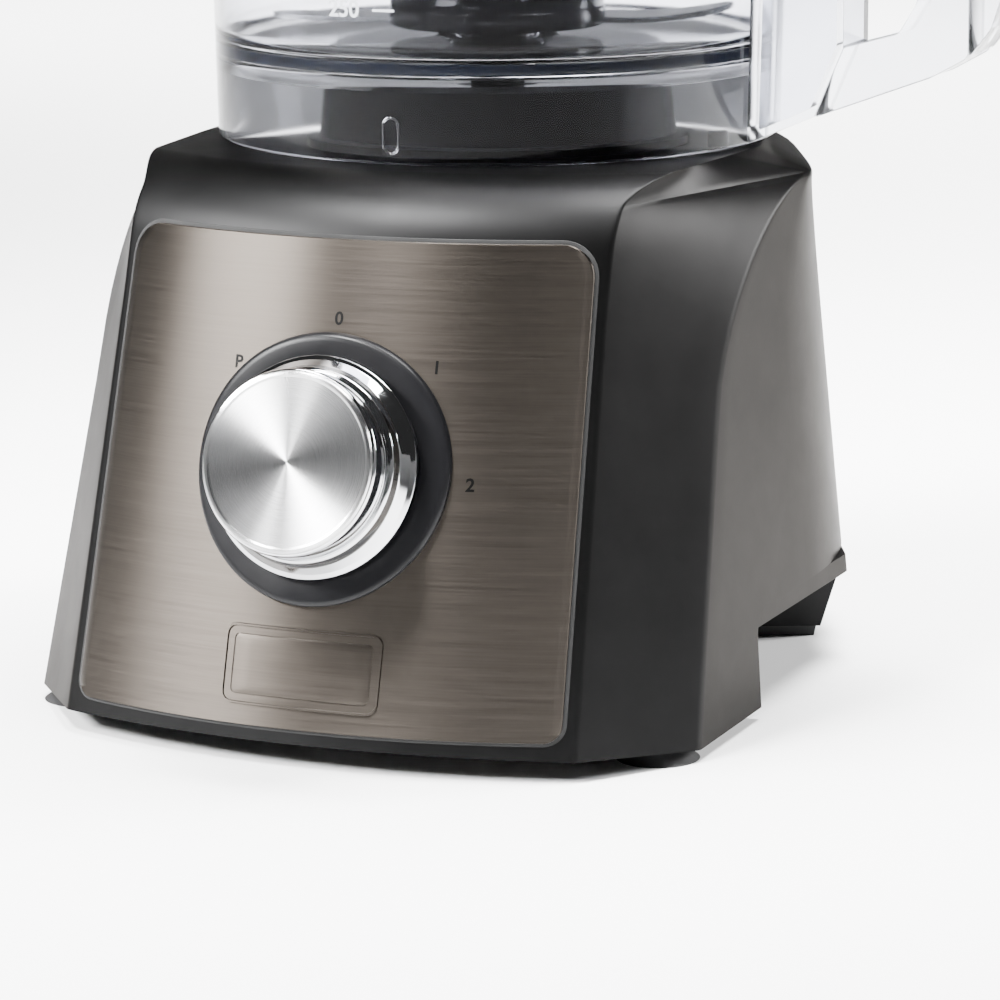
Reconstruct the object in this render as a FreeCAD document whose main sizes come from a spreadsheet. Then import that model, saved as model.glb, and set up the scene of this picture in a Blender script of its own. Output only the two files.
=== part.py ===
import FreeCAD, Part
import math
import os
import re

import Sketcher
from FreeCAD import Placement, Rotation, Vector

# Food processor: a motor base with a sloping front shield, a clear bowl with a
# handle, a lid with a feed chute, and everything inside that makes it turn.
# All profiles are drawn about the drive axis; every sub-part is then placed by
# axis_x, axis_y, because the origin is the centre of the whole part's box, at the feet.

os.makedirs("parts", exist_ok=True)
doc = FreeCAD.newDocument("food_processor")
sheet = doc.addObject("Spreadsheet::Sheet", "Dims")

DIMENSIONS = [
    ("axis_x", -25.75, "drive axis from the origin, along X"),
    ("axis_y", 27.8, "drive axis from the origin, along Y"),
    ("deck_top", 155.6, "height of the deck that the bowl stands on"),
    ("shoulder", 148.5, "height of the shoulder where the sides turn in"),
    ("shell_wall", 2.6, "wall of the motor housing"),
    ("front_under", 3.4, "underside of the front of the housing"),
    ("front_lift", 0.075, "rise of the front edge of the underside, per mm forward"),
    ("lift_start", -105.0, "where that rise starts, along Y"),
    ("rear_under", 31.0, "underside of the raised rear of the housing"),
    ("notch_y", -58.0, "where the underside steps up, along Y"),
    ("cover_thick", 3.0, "bottom cover, in front and at the step"),
    ("cover_rear", 5.5, "bottom cover under the raised rear"),
    ("shield_slope", 16.0, "lean of the front shield, degrees from upright"),
    ("shield_axis_y", 65.0, "axis of the conical front shield"),
    ("shield_base", 216.9, "radius of that cone at height zero"),
    ("shield_bend", 27.0, "radius of the bend from shield to deck"),
    ("panel_gap", 0.05, "front panel stands off the shield"),
    ("panel_thick", 0.9, "front panel sheet"),
    ("panel_low", 10.8, "bottom edge of the front panel"),
    ("panel_high", 139.5, "top edge of the front panel"),
    ("panel_half_low", 72.4, "half width of the panel at its bottom edge"),
    ("panel_half_high", 68.6, "half width of the panel at its top edge"),
    ("knob_height", 79.2, "height of the knob axis on the panel"),
    ("knob_front_y", -130.2, "knob axis on the panel face, along Y"),
    ("bezel_outer", 37.3, "radius of the ring around the knob"),
    ("bezel_inner", 27.5, "hole of that ring"),
    ("bezel_thick", 2.2, "thickness of that ring"),
    ("knob_skirt", 30.5, "radius of the knob's polished skirt"),
    ("knob_grip", 25.4, "radius of the knob's grip"),
    ("knob_tall", 22.0, "knob face above the panel"),
    ("knob_rod", 3.0, "radius of the selector shaft"),
    ("bowl_low", 82.5, "outer radius of the bowl at its foot"),
    ("bowl_high", 85.0, "outer radius of the bowl at its rim"),
    ("bowl_wall", 2.5, "wall of the bowl"),
    ("bowl_foot", 156.0, "foot of the bowl"),
    ("bowl_floor", 184.0, "top of the bowl's floor"),
    ("bowl_rim", 296.0, "rim of the bowl"),
    ("tube_inner", 9.2, "bore of the bowl's centre tube"),
    ("tube_outer", 12.4, "outside of the bowl's centre tube"),
    ("tube_top", 228.0, "top of the bowl's centre tube"),
    ("grip_half", 12.0, "half width of the handle"),
    ("channel_out", 110.0, "outer face of the channel beside the bowl"),
    ("grip_in", 131.5, "inner face of the handle's grip"),
    ("grip_split", 146.4, "joint between the grip and its cover"),
    ("grip_out", 157.0, "outer face of the grip"),
    ("seat_rad", 56.0, "foot radius of the boss that the bowl stands over"),
    ("seat_top", 178.5, "top of that boss"),
    ("shaft_rad", 4.0, "motor shaft"),
    ("fit_gap", 0.05, "running clearance of a shaft, on the radius"),
    ("spindle_rad", 8.0, "drive spindle on top of the shaft"),
    ("hub_wide", 31.8, "blade hub at the bowl's floor"),
    ("hub_low", 187.0, "underside of the blade hub"),
    ("hub_high", 262.0, "top of the blade hub"),
    ("blade_reach", 76.0, "tip radius of the blades"),
    ("blade_thick", 1.4, "blade sheet"),
    ("lid_rim", 88.3, "outer radius of the lid"),
    ("lid_under", 297.2, "underside of the lid's plate"),
    ("lid_thick", 2.6, "lid plate"),
    ("chute_y", 36.0, "centre of the feed chute behind the drive axis"),
    ("chute_wide", 72.0, "feed chute, outside, along X"),
    ("chute_deep", 52.0, "feed chute, outside, along Y"),
    ("chute_round", 12.0, "outer corner radius of the feed chute"),
    ("chute_wall", 2.4, "wall of the feed chute"),
    ("chute_top", 372.0, "top of the feed chute"),
    ("slide_gap", 0.5, "gap around the pushers"),
    ("pusher_top", 392.0, "top of the large pusher"),
    ("cup_rad", 14.0, "radius of the small pusher"),
    ("cup_top", 402.0, "top of the small pusher"),
    ("foot_rad", 11.6, "front suction foot"),
    ("leg_start", 23.0, "where the right rear leg starts, degrees from +X"),
    ("leg_sweep", 27.0, "how far it runs round, degrees"),
    ("stack_wide", 84.0, "motor laminations along X"),
    ("stack_deep", 66.0, "motor laminations along Y"),
    ("stack_low", 84.0, "bottom of the laminations"),
    ("stack_high", 120.0, "top of the laminations"),
    ("stack_bore", 23.6, "bore of the laminations"),
    ("post_x", 36.0, "motor screw position along X"),
    ("post_y", 27.0, "motor screw position along Y"),
    ("post_rad", 2.0, "motor screw radius"),
    ("button_x", 68.0, "interlock plunger from the drive axis"),
    ("button_rad", 3.0, "interlock plunger radius"),
    ("board_low", 15.0, "underside of the circuit board"),
    ("board_thick", 1.6, "circuit board"),
    ("inlet_high", 48.0, "height of the cord inlet at the rear"),
    ("inlet_hole", 7.0, "hole in the rear wall for the inlet's grommet"),
    ("inlet_lip", 9.0, "lips of that grommet"),
    ("inlet_bore", 3.6, "bore of the cord inlet"),
]

for row, (name, value, note) in enumerate(DIMENSIONS, start=1):
    sheet.set("A%d" % row, name)
    sheet.set("B%d" % row, str(value))
    sheet.set("C%d" % row, note)
    sheet.setAlias("B%d" % row, name)
doc.recompute()

ALIAS = re.compile(r"\b(" + "|".join(entry[0] for entry in DIMENSIONS) + r")\b")


def bound(text):
    """An expression over the sheet's cells, written the way FreeCAD reads it."""
    return ALIAS.sub(r"Dims.\1", text)


def number(text):
    """The value of such an expression."""
    return float(sheet.evalExpression(bound(text)))


DIM = {entry[0]: number(entry[0]) for entry in DIMENSIONS}
BACKWARDS = Vector(0, 1, 0)
CENTRE = ("0", "0")
NODES = []


# ---------------------------------------------------------------- placing

def keep(item, label, tilt=None, base=("0", "0", "0")):
    """Name a sub-part, place it from the drive axis and list it for writing."""
    item.Label = label
    if tilt is not None:
        item.Placement.Rotation = Rotation(Vector(1, 0, 0), number(tilt))
        item.setExpression("Placement.Rotation.Angle", bound(tilt))
    offsets = ("axis_x + " + base[0], "axis_y + " + base[1], base[2])
    for axis, text in zip("xyz", offsets):
        item.setExpression("Placement.Base." + axis, bound(text))
    NODES.append(item)
    return item


def keep_shape(label, shape):
    """A computed sub-part, drawn about the drive axis."""
    item = doc.addObject("Part::Feature", label)
    item.Shape = shape
    to_axis = Placement(Vector(DIM["axis_x"], DIM["axis_y"], 0), Rotation())
    item.Placement = to_axis.multiply(shape.Placement)
    item.Label = label
    NODES.append(item)
    return item


def on_knob_axis(item, label):
    """Place a part drawn about its own Z on the knob's axis."""
    return keep(item, label, "90 - shield_slope", ("0", "knob_front_y", "knob_height"))


# ---------------------------------------------------------------- sketches and features

def new_body(name):
    return doc.addObject("PartDesign::Body", name + "_body")


def origin_plane(body, role):
    return [plane for plane in body.Origin.OriginFeatures if plane.Role == role][0]


def empty_sketch(body, role, lift=None):
    sketch = body.newObject("Sketcher::SketchObject", body.Name + "_sketch")
    sketch.AttachmentSupport = [(origin_plane(body, role), "")]
    sketch.MapMode = "FlatFace"
    if lift is not None:
        sketch.AttachmentOffset = Placement(Vector(0, 0, number(lift)), Rotation())
        sketch.setExpression("AttachmentOffset.Base.z", bound(lift))
    return sketch


def pin_point(sketch, geometry, point, place):
    """Hold one sketch point at a place given by two expressions."""
    for kind, text in zip(("DistanceX", "DistanceY"), place):
        rule = Sketcher.Constraint(kind, -1, 1, geometry, point, number(text))
        index = sketch.addConstraint(rule)
        sketch.setExpression("Constraints[%d]" % index, bound(text))


def polygon(sketch, corners):
    """A closed outline of straight edges through corners given as expressions."""
    first = sketch.GeometryCount
    count = len(corners)
    points = [Vector(number(across), number(up), 0) for across, up in corners]
    for index in range(count):
        edge = Part.LineSegment(points[index], points[(index + 1) % count])
        sketch.addGeometry(edge, False)
    for index in range(count):
        following = first + (index + 1) % count
        sketch.addConstraint(Sketcher.Constraint("Coincident", first + index, 2, following, 1))
    for index, corner in enumerate(corners):
        pin_point(sketch, first + index, 1, corner)


def circle(sketch, radius, centre=CENTRE):
    middle = Vector(number(centre[0]), number(centre[1]), 0)
    ring = Part.Circle(middle, Vector(0, 0, 1), number(radius))
    geometry = sketch.addGeometry(ring, False)
    pin_point(sketch, geometry, 3, centre)
    index = sketch.addConstraint(Sketcher.Constraint("Radius", geometry, number(radius)))
    sketch.setExpression("Constraints[%d]" % index, bound(radius))


def revolve(body, corners):
    sketch = empty_sketch(body, "XZ_Plane")
    polygon(sketch, corners)
    turn = body.newObject("PartDesign::Revolution", body.Name + "_turn")
    turn.Profile = sketch
    turn.ReferenceAxis = (sketch, ["V_Axis"])
    turn.Angle = 360
    body.Tip = turn
    return turn


def pad(body, sketch, length, both_ways=False):
    block = body.newObject("PartDesign::Pad", body.Name + "_pad")
    block.Profile = sketch
    block.Length = number(length)
    block.setExpression("Length", bound(length))
    if both_ways:
        block.Midplane = True
    body.Tip = block
    return block


def pocket(body, sketch, tall):
    """Cut a sketch's outline upwards from its plane."""
    room = body.newObject("PartDesign::Pocket", body.Name + "_pocket")
    room.Profile = sketch
    room.Reversed = True
    room.Length = number(tall)
    room.setExpression("Length", bound(tall))
    body.Tip = room
    return room


def must_be_less(body, before):
    """Stop if the last cut took nothing away."""
    doc.recompute()
    if not body.Shape.Volume < before - 0.1:
        raise RuntimeError("a cut took nothing from " + body.Name)


def drill(body, radius, centres, low, depth):
    """Round holes, cut upwards from the height low."""
    doc.recompute()
    before = body.Shape.Volume
    sketch = empty_sketch(body, "XY_Plane", low)
    for centre in centres:
        circle(sketch, radius, centre)
    pocket(body, sketch, depth)
    must_be_less(body, before)


def soften(body, radius, chosen):
    """Fillet the edges of the body's tip that chosen accepts."""
    doc.recompute()
    tip = body.Tip
    names = []
    for index, edge in enumerate(tip.Shape.Edges, start=1):
        if chosen(edge):
            names.append("Edge%d" % index)
    fillet = body.newObject("PartDesign::Fillet", body.Name + "_fillet")
    fillet.Base = (tip, names)
    fillet.Radius = number(radius)
    fillet.setExpression("Radius", bound(radius))
    body.Tip = fillet


def turned(label, corners, knob_axis=False):
    """A part turned about the drive axis, or about the knob's axis."""
    body = new_body(label)
    revolve(body, corners)
    if knob_axis:
        return on_knob_axis(body, label)
    return keep(body, label)


def ring(label, inner, outer, low, high):
    return turned(label, [(inner, low), (outer, low), (outer, high), (inner, high)])


def is_upright(edge):
    """True for a straight edge along Z."""
    if len(edge.Vertexes) < 2:
        return False
    first, last = edge.Vertexes[0].Point, edge.Vertexes[-1].Point
    return abs(first.x - last.x) < 1e-6 and abs(first.y - last.y) < 1e-6


def rectangle(sketch, half_x, half_y, centre_y="0"):
    low = "(%s) - (%s)" % (centre_y, half_y)
    high = "(%s) + (%s)" % (centre_y, half_y)
    left = "0 - (%s)" % half_x
    polygon(sketch, [(left, low), (half_x, low), (half_x, high), (left, high)])


def block(body, half_x, half_y, centre_y, low, tall):
    sketch = empty_sketch(body, "XY_Plane", low)
    rectangle(sketch, half_x, half_y, centre_y)
    pad(body, sketch, tall)


def upright_at(half_x):
    """Accepts the upright edges at the distance half_x from the plane of symmetry."""
    wanted = number(half_x)
    return lambda edge: is_upright(edge) and abs(abs(edge.CenterOfMass.x) - wanted) < 0.02


def hollow_out(body, half_x, half_y, centre_y, low, tall):
    """Cut a square pocket upwards from the height low."""
    doc.recompute()
    before = body.Shape.Volume
    sketch = empty_sketch(body, "XY_Plane", low)
    rectangle(sketch, half_x, half_y, centre_y)
    pocket(body, sketch, tall)
    must_be_less(body, before)


def primitive(kind, name, sizes, at=("0", "0", "0")):
    """A Part primitive whose sizes and place are bound to the sheet."""
    item = doc.addObject("Part::" + kind, name)
    for key, text in sizes.items():
        setattr(item, key, number(text))
        item.setExpression(key, bound(text))
    for axis, text in zip("xyz", at):
        item.setExpression("Placement.Base." + axis, bound(text))
    return item


def group(label, items):
    """Identical pieces that share one node."""
    bundle = doc.addObject("Part::Compound", label + "_group")
    bundle.Links = items
    return keep(bundle, label)


def flat_plate(label, half_x, half_y, low, thick, holes):
    """A rectangular plate about the drive axis; holes are (radius, centres)."""
    body = new_body(label)
    sketch = empty_sketch(body, "XY_Plane", low)
    rectangle(sketch, half_x, half_y)
    pad(body, sketch, thick)
    for radius, centres in holes:
        drill(body, radius, centres, low, thick)
    return keep(body, label)


# ---------------------------------------------------------------- housing geometry

def cone_radius(height, stand_off=0.0):
    """Radius of the front shield about its own axis, bend to the deck included."""
    lean = math.radians(DIM["shield_slope"])
    bend = DIM["shield_bend"]
    straight = DIM["shield_base"] - height * math.tan(lean)
    corner = DIM["shield_base"] - DIM["deck_top"] * math.tan(lean)
    tangent = bend * math.tan((math.pi / 2 - lean) / 2)
    start = DIM["deck_top"] - tangent * math.cos(lean)
    if height <= start:
        return straight + stand_off / math.cos(lean)
    rise = min(height - (DIM["deck_top"] - bend), bend)
    return corner - tangent + math.sqrt(bend ** 2 - rise ** 2)


def shield_edge(height):
    """Where the shield meets the side chamfer: it narrows upwards, then flares at the top."""
    straight_to, flare_from = 120.0, 147.0
    across = 76.6 - 4.4 * min(height, straight_to) / straight_to
    if height > flare_from:
        across += 7.0 * ((height - flare_from) / (DIM["deck_top"] - flare_from)) ** 2
    along = DIM["shield_axis_y"] - math.sqrt(cone_radius(height) ** 2 - across ** 2)
    return Vector(across, along, height)


def above_shoulder(height):
    """0 at the shoulder and below it, 1 at the deck."""
    rise = max(0.0, height - DIM["shoulder"])
    return rise / (DIM["deck_top"] - DIM["shoulder"])


def side_crease(height):
    """Where the chamfer meets the side wall, and the shoulder above it."""
    bend_low, bend_high = 95.0, DIM["shoulder"]
    if height > bend_high:
        part = above_shoulder(height)
        return Vector(99.0 - 16.5 * part, -10.0 - 22.0 * part, height)
    across = 100.9 - 0.06 * min(height, bend_low)
    along = -106.7 + 0.333 * height
    if height > bend_low:
        part = (height - bend_low) / (bend_high - bend_low)
        across += 3.8 * part ** 2
        along += 50.0 * (1 - math.sqrt(1 - part ** 2))
    return Vector(across, along, height)


def side_waist(height):
    """The widest point of the side wall."""
    part = above_shoulder(height)
    if part > 0:
        return Vector(99.5 - 15.5 * part, -2.0 + 2.0 * part, height)
    return Vector(105.5 - 0.04 * height, 24.0 - 0.175 * height, height)


def rear_corner(height):
    waist = side_waist(height)
    taper = math.tan(math.radians(24))
    run = 52.0 + 0.06 * height
    if above_shoulder(height) > 0:
        run -= 6.0
    return Vector(waist.x - run * taper, waist.y + run, height)


def rear_middle(height):
    over = max(0.0, height - DIM["shoulder"])
    return Vector(0, 99.0 - 0.075 * height - 0.5 * over, height)


def mirrored(point):
    return Vector(-point.x, point.y, point.z)


def housing_outline(height):
    """The closed outline of the motor housing at one height."""
    edge = shield_edge(height)
    right = [edge, side_crease(height), side_waist(height), rear_corner(height)]
    nose = Vector(0, DIM["shield_axis_y"] - cone_radius(height), height)
    edges = [Part.Arc(mirrored(edge), nose, edge).toShape()]
    for start, end in zip(right, right[1:]):
        edges.append(Part.LineSegment(start, end).toShape())
    edges.append(Part.Arc(right[-1], rear_middle(height), mirrored(right[-1])).toShape())
    left = [mirrored(point) for point in reversed(right)]
    for start, end in zip(left, left[1:]):
        edges.append(Part.LineSegment(start, end).toShape())
    return Part.Wire(edges)


def housing_solid(inset=0.0, roof=0.0):
    """The housing as a full solid, set in by inset, its deck lowered by roof."""
    heights = [0.0, 50.0, 95.0, 120.0, 132.0, 140.0, 145.0]
    heights += [DIM["shoulder"], 151.0, 153.2, 154.8, DIM["deck_top"]]
    lowered_from = 120.0
    wires = []
    for height in heights:
        outline = housing_outline(height)
        if inset > 0:
            outline = outline.makeOffset2D(-inset, 2, False, False)
        if roof > 0 and height > lowered_from:
            part = (height - lowered_from) / (DIM["deck_top"] - lowered_from)
            outline.translate(Vector(0, 0, -roof * part))
        wires.append(outline)
    return Part.makeLoft(wires, True, True)


def box(low, high):
    size = Vector(*high) - Vector(*low)
    return Part.makeBox(size.x, size.y, size.z, Vector(*low))


def knob_cylinder(radius, near, far):
    """A cylinder about the knob's axis, between two distances from the panel."""
    lean = math.radians(DIM["shield_slope"])
    outward = Vector(0, -math.cos(lean), math.sin(lean))
    centre = Vector(0, DIM["knob_front_y"], DIM["knob_height"])
    return Part.makeCylinder(radius, far - near, centre + outward * near, outward)


def shield_sheet(near, far, low, high):
    """A conical sheet parallel to the shield, between two stand-offs."""
    lean = math.radians(DIM["shield_slope"])
    corners = []
    for height, stand_off in ((low, near), (low, far), (high, far), (high, near)):
        radius = DIM["shield_base"] - height * math.tan(lean) + stand_off / math.cos(lean)
        corners.append(Vector(0, DIM["shield_axis_y"] - radius, height))
    face = Part.Face(Part.makePolygon(corners + [corners[0]]))
    sheet_solid = face.revolve(Vector(0, DIM["shield_axis_y"], 0), Vector(0, 0, 1), 60)
    sheet_solid.rotate(Vector(0, DIM["shield_axis_y"], 0), Vector(0, 0, 1), -30)
    return sheet_solid


def panel_blank():
    """The panel's outline, a rounded trapezium, pushed through from the front."""
    low, high = DIM["panel_low"], DIM["panel_high"]
    half_low, half_high = DIM["panel_half_low"], DIM["panel_half_high"]
    places = [(-half_low, low), (half_low, low), (half_high, high), (-half_high, high)]
    corners = [Vector(x, -200, z) for x, z in places]
    face = Part.Face(Part.makePolygon(corners + [corners[0]]))
    blank = face.extrude(Vector(0, 150, 0))
    rounds = {low: 4.5, high: 9.0}
    for height, radius in rounds.items():
        chosen = []
        for edge in blank.Edges:
            middle = edge.CenterOfMass
            across = abs(edge.Vertexes[0].Point.y - edge.Vertexes[-1].Point.y)
            if across > 100 and abs(middle.z - height) < 0.1:
                chosen.append(edge)
        blank = blank.makeFillet(radius, chosen)
    return blank


def slotted(low, high, count, step):
    """A row of slots, each a box from low to high, repeated along X."""
    cuts = []
    for index in range(count):
        shift = Vector(index * step, 0, 0)
        cuts.append(box(Vector(*low) + shift, Vector(*high) + shift))
    return cuts


def across_x(places):
    """A flat outline in Y and Z, given the whole width along X."""
    corners = [Vector(-200, y, z) for y, z in places]
    face = Part.Face(Part.makePolygon(corners + [corners[0]]))
    return face.extrude(Vector(400, 0, 0))


def under_wedge():
    """What is cut away under the rising front edge."""
    start, low, front = DIM["lift_start"], DIM["front_under"], -250
    risen = low + (start - front) * DIM["front_lift"]
    return across_x([(start, low), (front, risen), (front, -5), (start, -5)])


def make_housing():
    wall = DIM["shell_wall"]
    notch = DIM["notch_y"]
    shell = housing_solid().cut(housing_solid(wall, wall))
    below_deck = DIM["deck_top"] - 10
    cuts = [
        box((-200, -250, -5), (200, 250, DIM["front_under"])),
        under_wedge(),
        box((-200, notch, -5), (200, 250, DIM["rear_under"])),
        knob_cylinder(7.2, -20, 10),
        Part.makeCylinder(9.6, 20, Vector(0, 0, below_deck)),
        Part.makeCylinder(DIM["button_rad"] + 0.3, 20, Vector(DIM["button_x"], 0, below_deck)),
        Part.makeCylinder(DIM["inlet_hole"], 40, Vector(0, 75, DIM["inlet_high"]), BACKWARDS),
    ]
    for cut in cuts:
        shell = shell.cut(cut)
    keep_shape("main_housing", shell)


def make_bottom_cover():
    """A sloping tray in front, a step up, and a thicker vented floor under the raised rear."""
    inside = housing_solid(DIM["shell_wall"] + 0.2)
    notch = DIM["notch_y"] - 0.1
    low, high = DIM["front_under"], DIM["rear_under"]
    start, thick, reach = DIM["lift_start"], DIM["cover_thick"], 60.0
    risen = low + 0.6 + reach * DIM["front_lift"]
    tray = inside.common(across_x([
        (notch, low), (start, low), (start - reach, risen),
        (start - reach, risen + thick), (start, low + thick), (notch, low + thick),
    ]))
    step = inside.common(box((-200, notch - thick, low), (200, notch, high)))
    rear_low = high - DIM["cover_rear"]
    rear = housing_solid(1.2).common(box((-200, notch, rear_low), (200, 250, high - 0.05)))
    cover = tray.fuse([step, rear]).removeSplitter()
    cover = cover.cut(slotted((-42, 20, 20), (-39, 62, 40), 15, 5.7))
    for x in (-86.0, 86.0):
        cover = cover.cut(Part.makeCylinder(2.2, 10, Vector(x, -104, 0)))
    keep_shape("bottom_cover", cover)


def make_front_panel():
    gap, thick = DIM["panel_gap"], DIM["panel_thick"]
    sheet_solid = shield_sheet(gap, gap + thick, 0, 150)
    panel = sheet_solid.common(panel_blank())
    panel = panel.cut(knob_cylinder(9.0, -20, 10))
    keep_shape("front_panel", panel)


def make_bezel():
    near = DIM["panel_gap"] + DIM["panel_thick"] + 0.02
    outer = knob_cylinder(DIM["bezel_outer"], -12, 12)
    inner = knob_cylinder(DIM["bezel_inner"], -12, 12)
    band = shield_sheet(near, near + DIM["bezel_thick"], 20, 145)
    keep_shape("knob_bezel", band.common(outer).cut(inner))


# ---------------------------------------------------------------- base parts

def make_seat_and_bearings():
    turned("bowl_seat", [
        ("spindle_rad + 0.9", "deck_top + 0.1"),
        ("seat_rad", "deck_top + 0.1"),
        ("seat_rad", "deck_top + 2.4"),
        ("seat_rad - 3.5", "deck_top + 3"),
        ("seat_rad - 5", "seat_top - 4.5"),
        ("seat_rad - 8", "seat_top"),
        ("spindle_rad + 0.9", "seat_top"),
    ])
    ring("shaft_seal", "shaft_rad + fit_gap", "9.5", "149", "155")
    ring("upper_bearing", "shaft_rad + fit_gap", "11", "139", "146")
    ring("lower_bearing", "shaft_rad + fit_gap", "9", "44", "51")


def make_motor():
    """Two brackets, the laminations with their windows, and the two field coils."""
    corners = motor_corners()
    flat_plate("upper_bracket", "stack_wide / 2", "stack_deep / 2", "141", "4",
               [("11", [CENTRE]), ("post_rad + 0.05", corners)])
    flat_plate("lower_bracket", "stack_wide / 2", "stack_deep / 2", "44", "4",
               [("9", [CENTRE]), ("post_rad + 0.05", corners)])
    stator = new_body("stator_core")
    sketch = empty_sketch(stator, "XY_Plane", "stack_low")
    rectangle(sketch, "stack_wide / 2", "stack_deep / 2")
    pad(stator, sketch, "stack_high - stack_low")
    drill(stator, "stack_bore", [CENTRE], "stack_low", "stack_high - stack_low")
    drill(stator, "post_rad + 0.05", corners, "stack_low", "stack_high - stack_low")
    for side in ("0 - 29.5", "29.5"):
        cut_window(stator, side)
    keep(stator, "stator_core")
    coils = []
    for index, side in enumerate(("0 - 33.3", "25.7")):
        sizes = {"Length": "7.6", "Width": "37", "Height": "stack_high - stack_low + 14"}
        at = (side, "0 - 18.5", "stack_low - 7")
        coils.append(primitive("Box", "coil_%d" % index, sizes, at))
    group("field_coils", coils)


def make_motor_screws():
    """The long screws through the motor, each on a rubber mount."""
    screws = []
    mounts = []
    for index, (x, y) in enumerate(motor_corners()):
        rod = primitive("Cylinder", "motor_rod_%d" % index,
                        {"Radius": "post_rad", "Height": "146 - 33"}, (x, y, "33"))
        head = primitive("Cylinder", "motor_head_%d" % index,
                         {"Radius": "3.6", "Height": "2.6"}, (x, y, "145.1"))
        screw = doc.addObject("Part::MultiFuse", "motor_screw_%d" % index)
        screw.Shapes = [rod, head]
        screws.append(screw)
        outer = primitive("Cylinder", "mount_outer_%d" % index,
                          {"Radius": "6", "Height": "12.8"}, (x, y, "31.1"))
        inner = primitive("Cylinder", "mount_inner_%d" % index,
                          {"Radius": "post_rad + 0.1", "Height": "14"}, (x, y, "30.5"))
        bush = doc.addObject("Part::Cut", "mount_%d" % index)
        bush.Base = outer
        bush.Tool = inner
        mounts.append(bush)
    group("motor_screws", screws)
    group("motor_mounts", mounts)


def motor_corners():
    signs = ("0 - ", "0 + ")
    return [(sx + "post_x", sy + "post_y") for sx in signs for sy in signs]


def cut_window(body, centre_x):
    """A window through the laminations for one coil."""
    sketch = empty_sketch(body, "XY_Plane", "stack_low")
    left = "(%s) - 4" % centre_x
    right = "(%s) + 4" % centre_x
    polygon(sketch, [(left, "0 - 19"), (right, "0 - 19"), (right, "19"), (left, "19")])
    pocket(body, sketch, "stack_high - stack_low")


def make_brush_gear():
    holders = []
    brushes = []
    for index, side in enumerate((-1, 1)):
        near, far = 15.0, 34.0
        low_x = min(side * near, side * far)
        holder = box((low_x, -5, 62), (low_x + far - near, 5, 74))
        channel = box((-50, -2.6, 64.4), (50, 2.6, 71.6))
        holders.append(holder.cut(channel))
        low_x = min(side * 11.3, side * 27.0)
        brushes.append(box((low_x, -2.5, 64.5), (low_x + 15.7, 2.5, 71.5)))
    keep_shape("brush_holders", Part.makeCompound(holders))
    keep_shape("carbon_brushes", Part.makeCompound(brushes))
    struts = []
    for x in (-31.0, 31.0):
        for y in (-9.0, 9.0):
            strut = Part.makeCylinder(2.0, 27.8, Vector(x, y, 48.1))
            struts.append(strut)
    keep_shape("brush_posts", Part.makeCompound(struts))


def make_switch():
    """The rotary switch behind the knob, drawn upright and then leaned with the shield."""
    behind = -5.5
    body = box((-18, -18, -27), (18, 18, behind))
    bushing = Part.makeCylinder(6.6, 7.0, Vector(0, 0, behind))
    bore = Part.makeCylinder(DIM["knob_rod"] + DIM["fit_gap"], 40, Vector(0, 0, -22))
    switch = body.fuse(bushing).cut(bore).removeSplitter()
    tilt = Rotation(Vector(1, 0, 0), 90 - DIM["shield_slope"])
    centre = Vector(0, DIM["knob_front_y"], DIM["knob_height"])
    switch.Placement = Placement(centre, tilt)
    keep_shape("rotary_switch", switch)


def make_board():
    """The circuit board on its pillars, with two components and a finned heat sink."""
    low, high = DIM["board_low"], DIM["board_low"] + DIM["board_thick"]
    on_top = high + 0.05
    keep_shape("circuit_board", box((-46, -139, low), (46, -78, high)))
    pillars = []
    for x in (-42.0, 42.0):
        for y in (-130.0, -84.0):
            pillars.append(Part.makeCylinder(3.0, 5.5, Vector(x, y, low - 5.55)))
    keep_shape("board_pillars", Part.makeCompound(pillars))
    capacitor = box((-34, -128, on_top), (-8, -114, 36))
    relay = box((6, -126, on_top), (26, -106, 27))
    keep_shape("board_components", Part.makeCompound([capacitor, relay]))
    half, front, back, plate_top = 30.0, -98.0, -86.0, 19.0
    count, fin_thick = 7, 2.4
    pitch = (2 * half - fin_thick) / (count - 1)
    fins = []
    for index in range(count):
        x = -half + index * pitch
        fins.append(box((x, front, plate_top - 0.1), (x + fin_thick, back, 44)))
    heatsink = box((-half, front, on_top), (half, back, plate_top))
    keep_shape("heat_sink", heatsink.fuse(fins).removeSplitter())


def coil_spring(radius, wire, tall, turns):
    """A coil of six-sided wire, made of flat facets."""
    steps, sides = 14 * turns, 6
    rings = []
    for step in range(steps + 1):
        around = 2 * math.pi * turns * step / steps
        section = []
        for side in range(sides):
            angle = 2 * math.pi * side / sides
            out = radius + wire * math.cos(angle)
            up = tall * step / steps + wire * math.sin(angle)
            section.append(Vector(out * math.cos(around), out * math.sin(around), up))
        rings.append(section)
    faces = []
    for first, second in zip(rings, rings[1:]):
        for side in range(sides):
            after = (side + 1) % sides
            faces.append([first[side], first[after], second[after]])
            faces.append([first[side], second[after], second[side]])
    faces.append(rings[0])
    faces.append(rings[-1])
    skins = [Part.Face(Part.makePolygon(corners + [corners[0]])) for corners in faces]
    return Part.makeSolid(Part.makeShell(skins))


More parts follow.
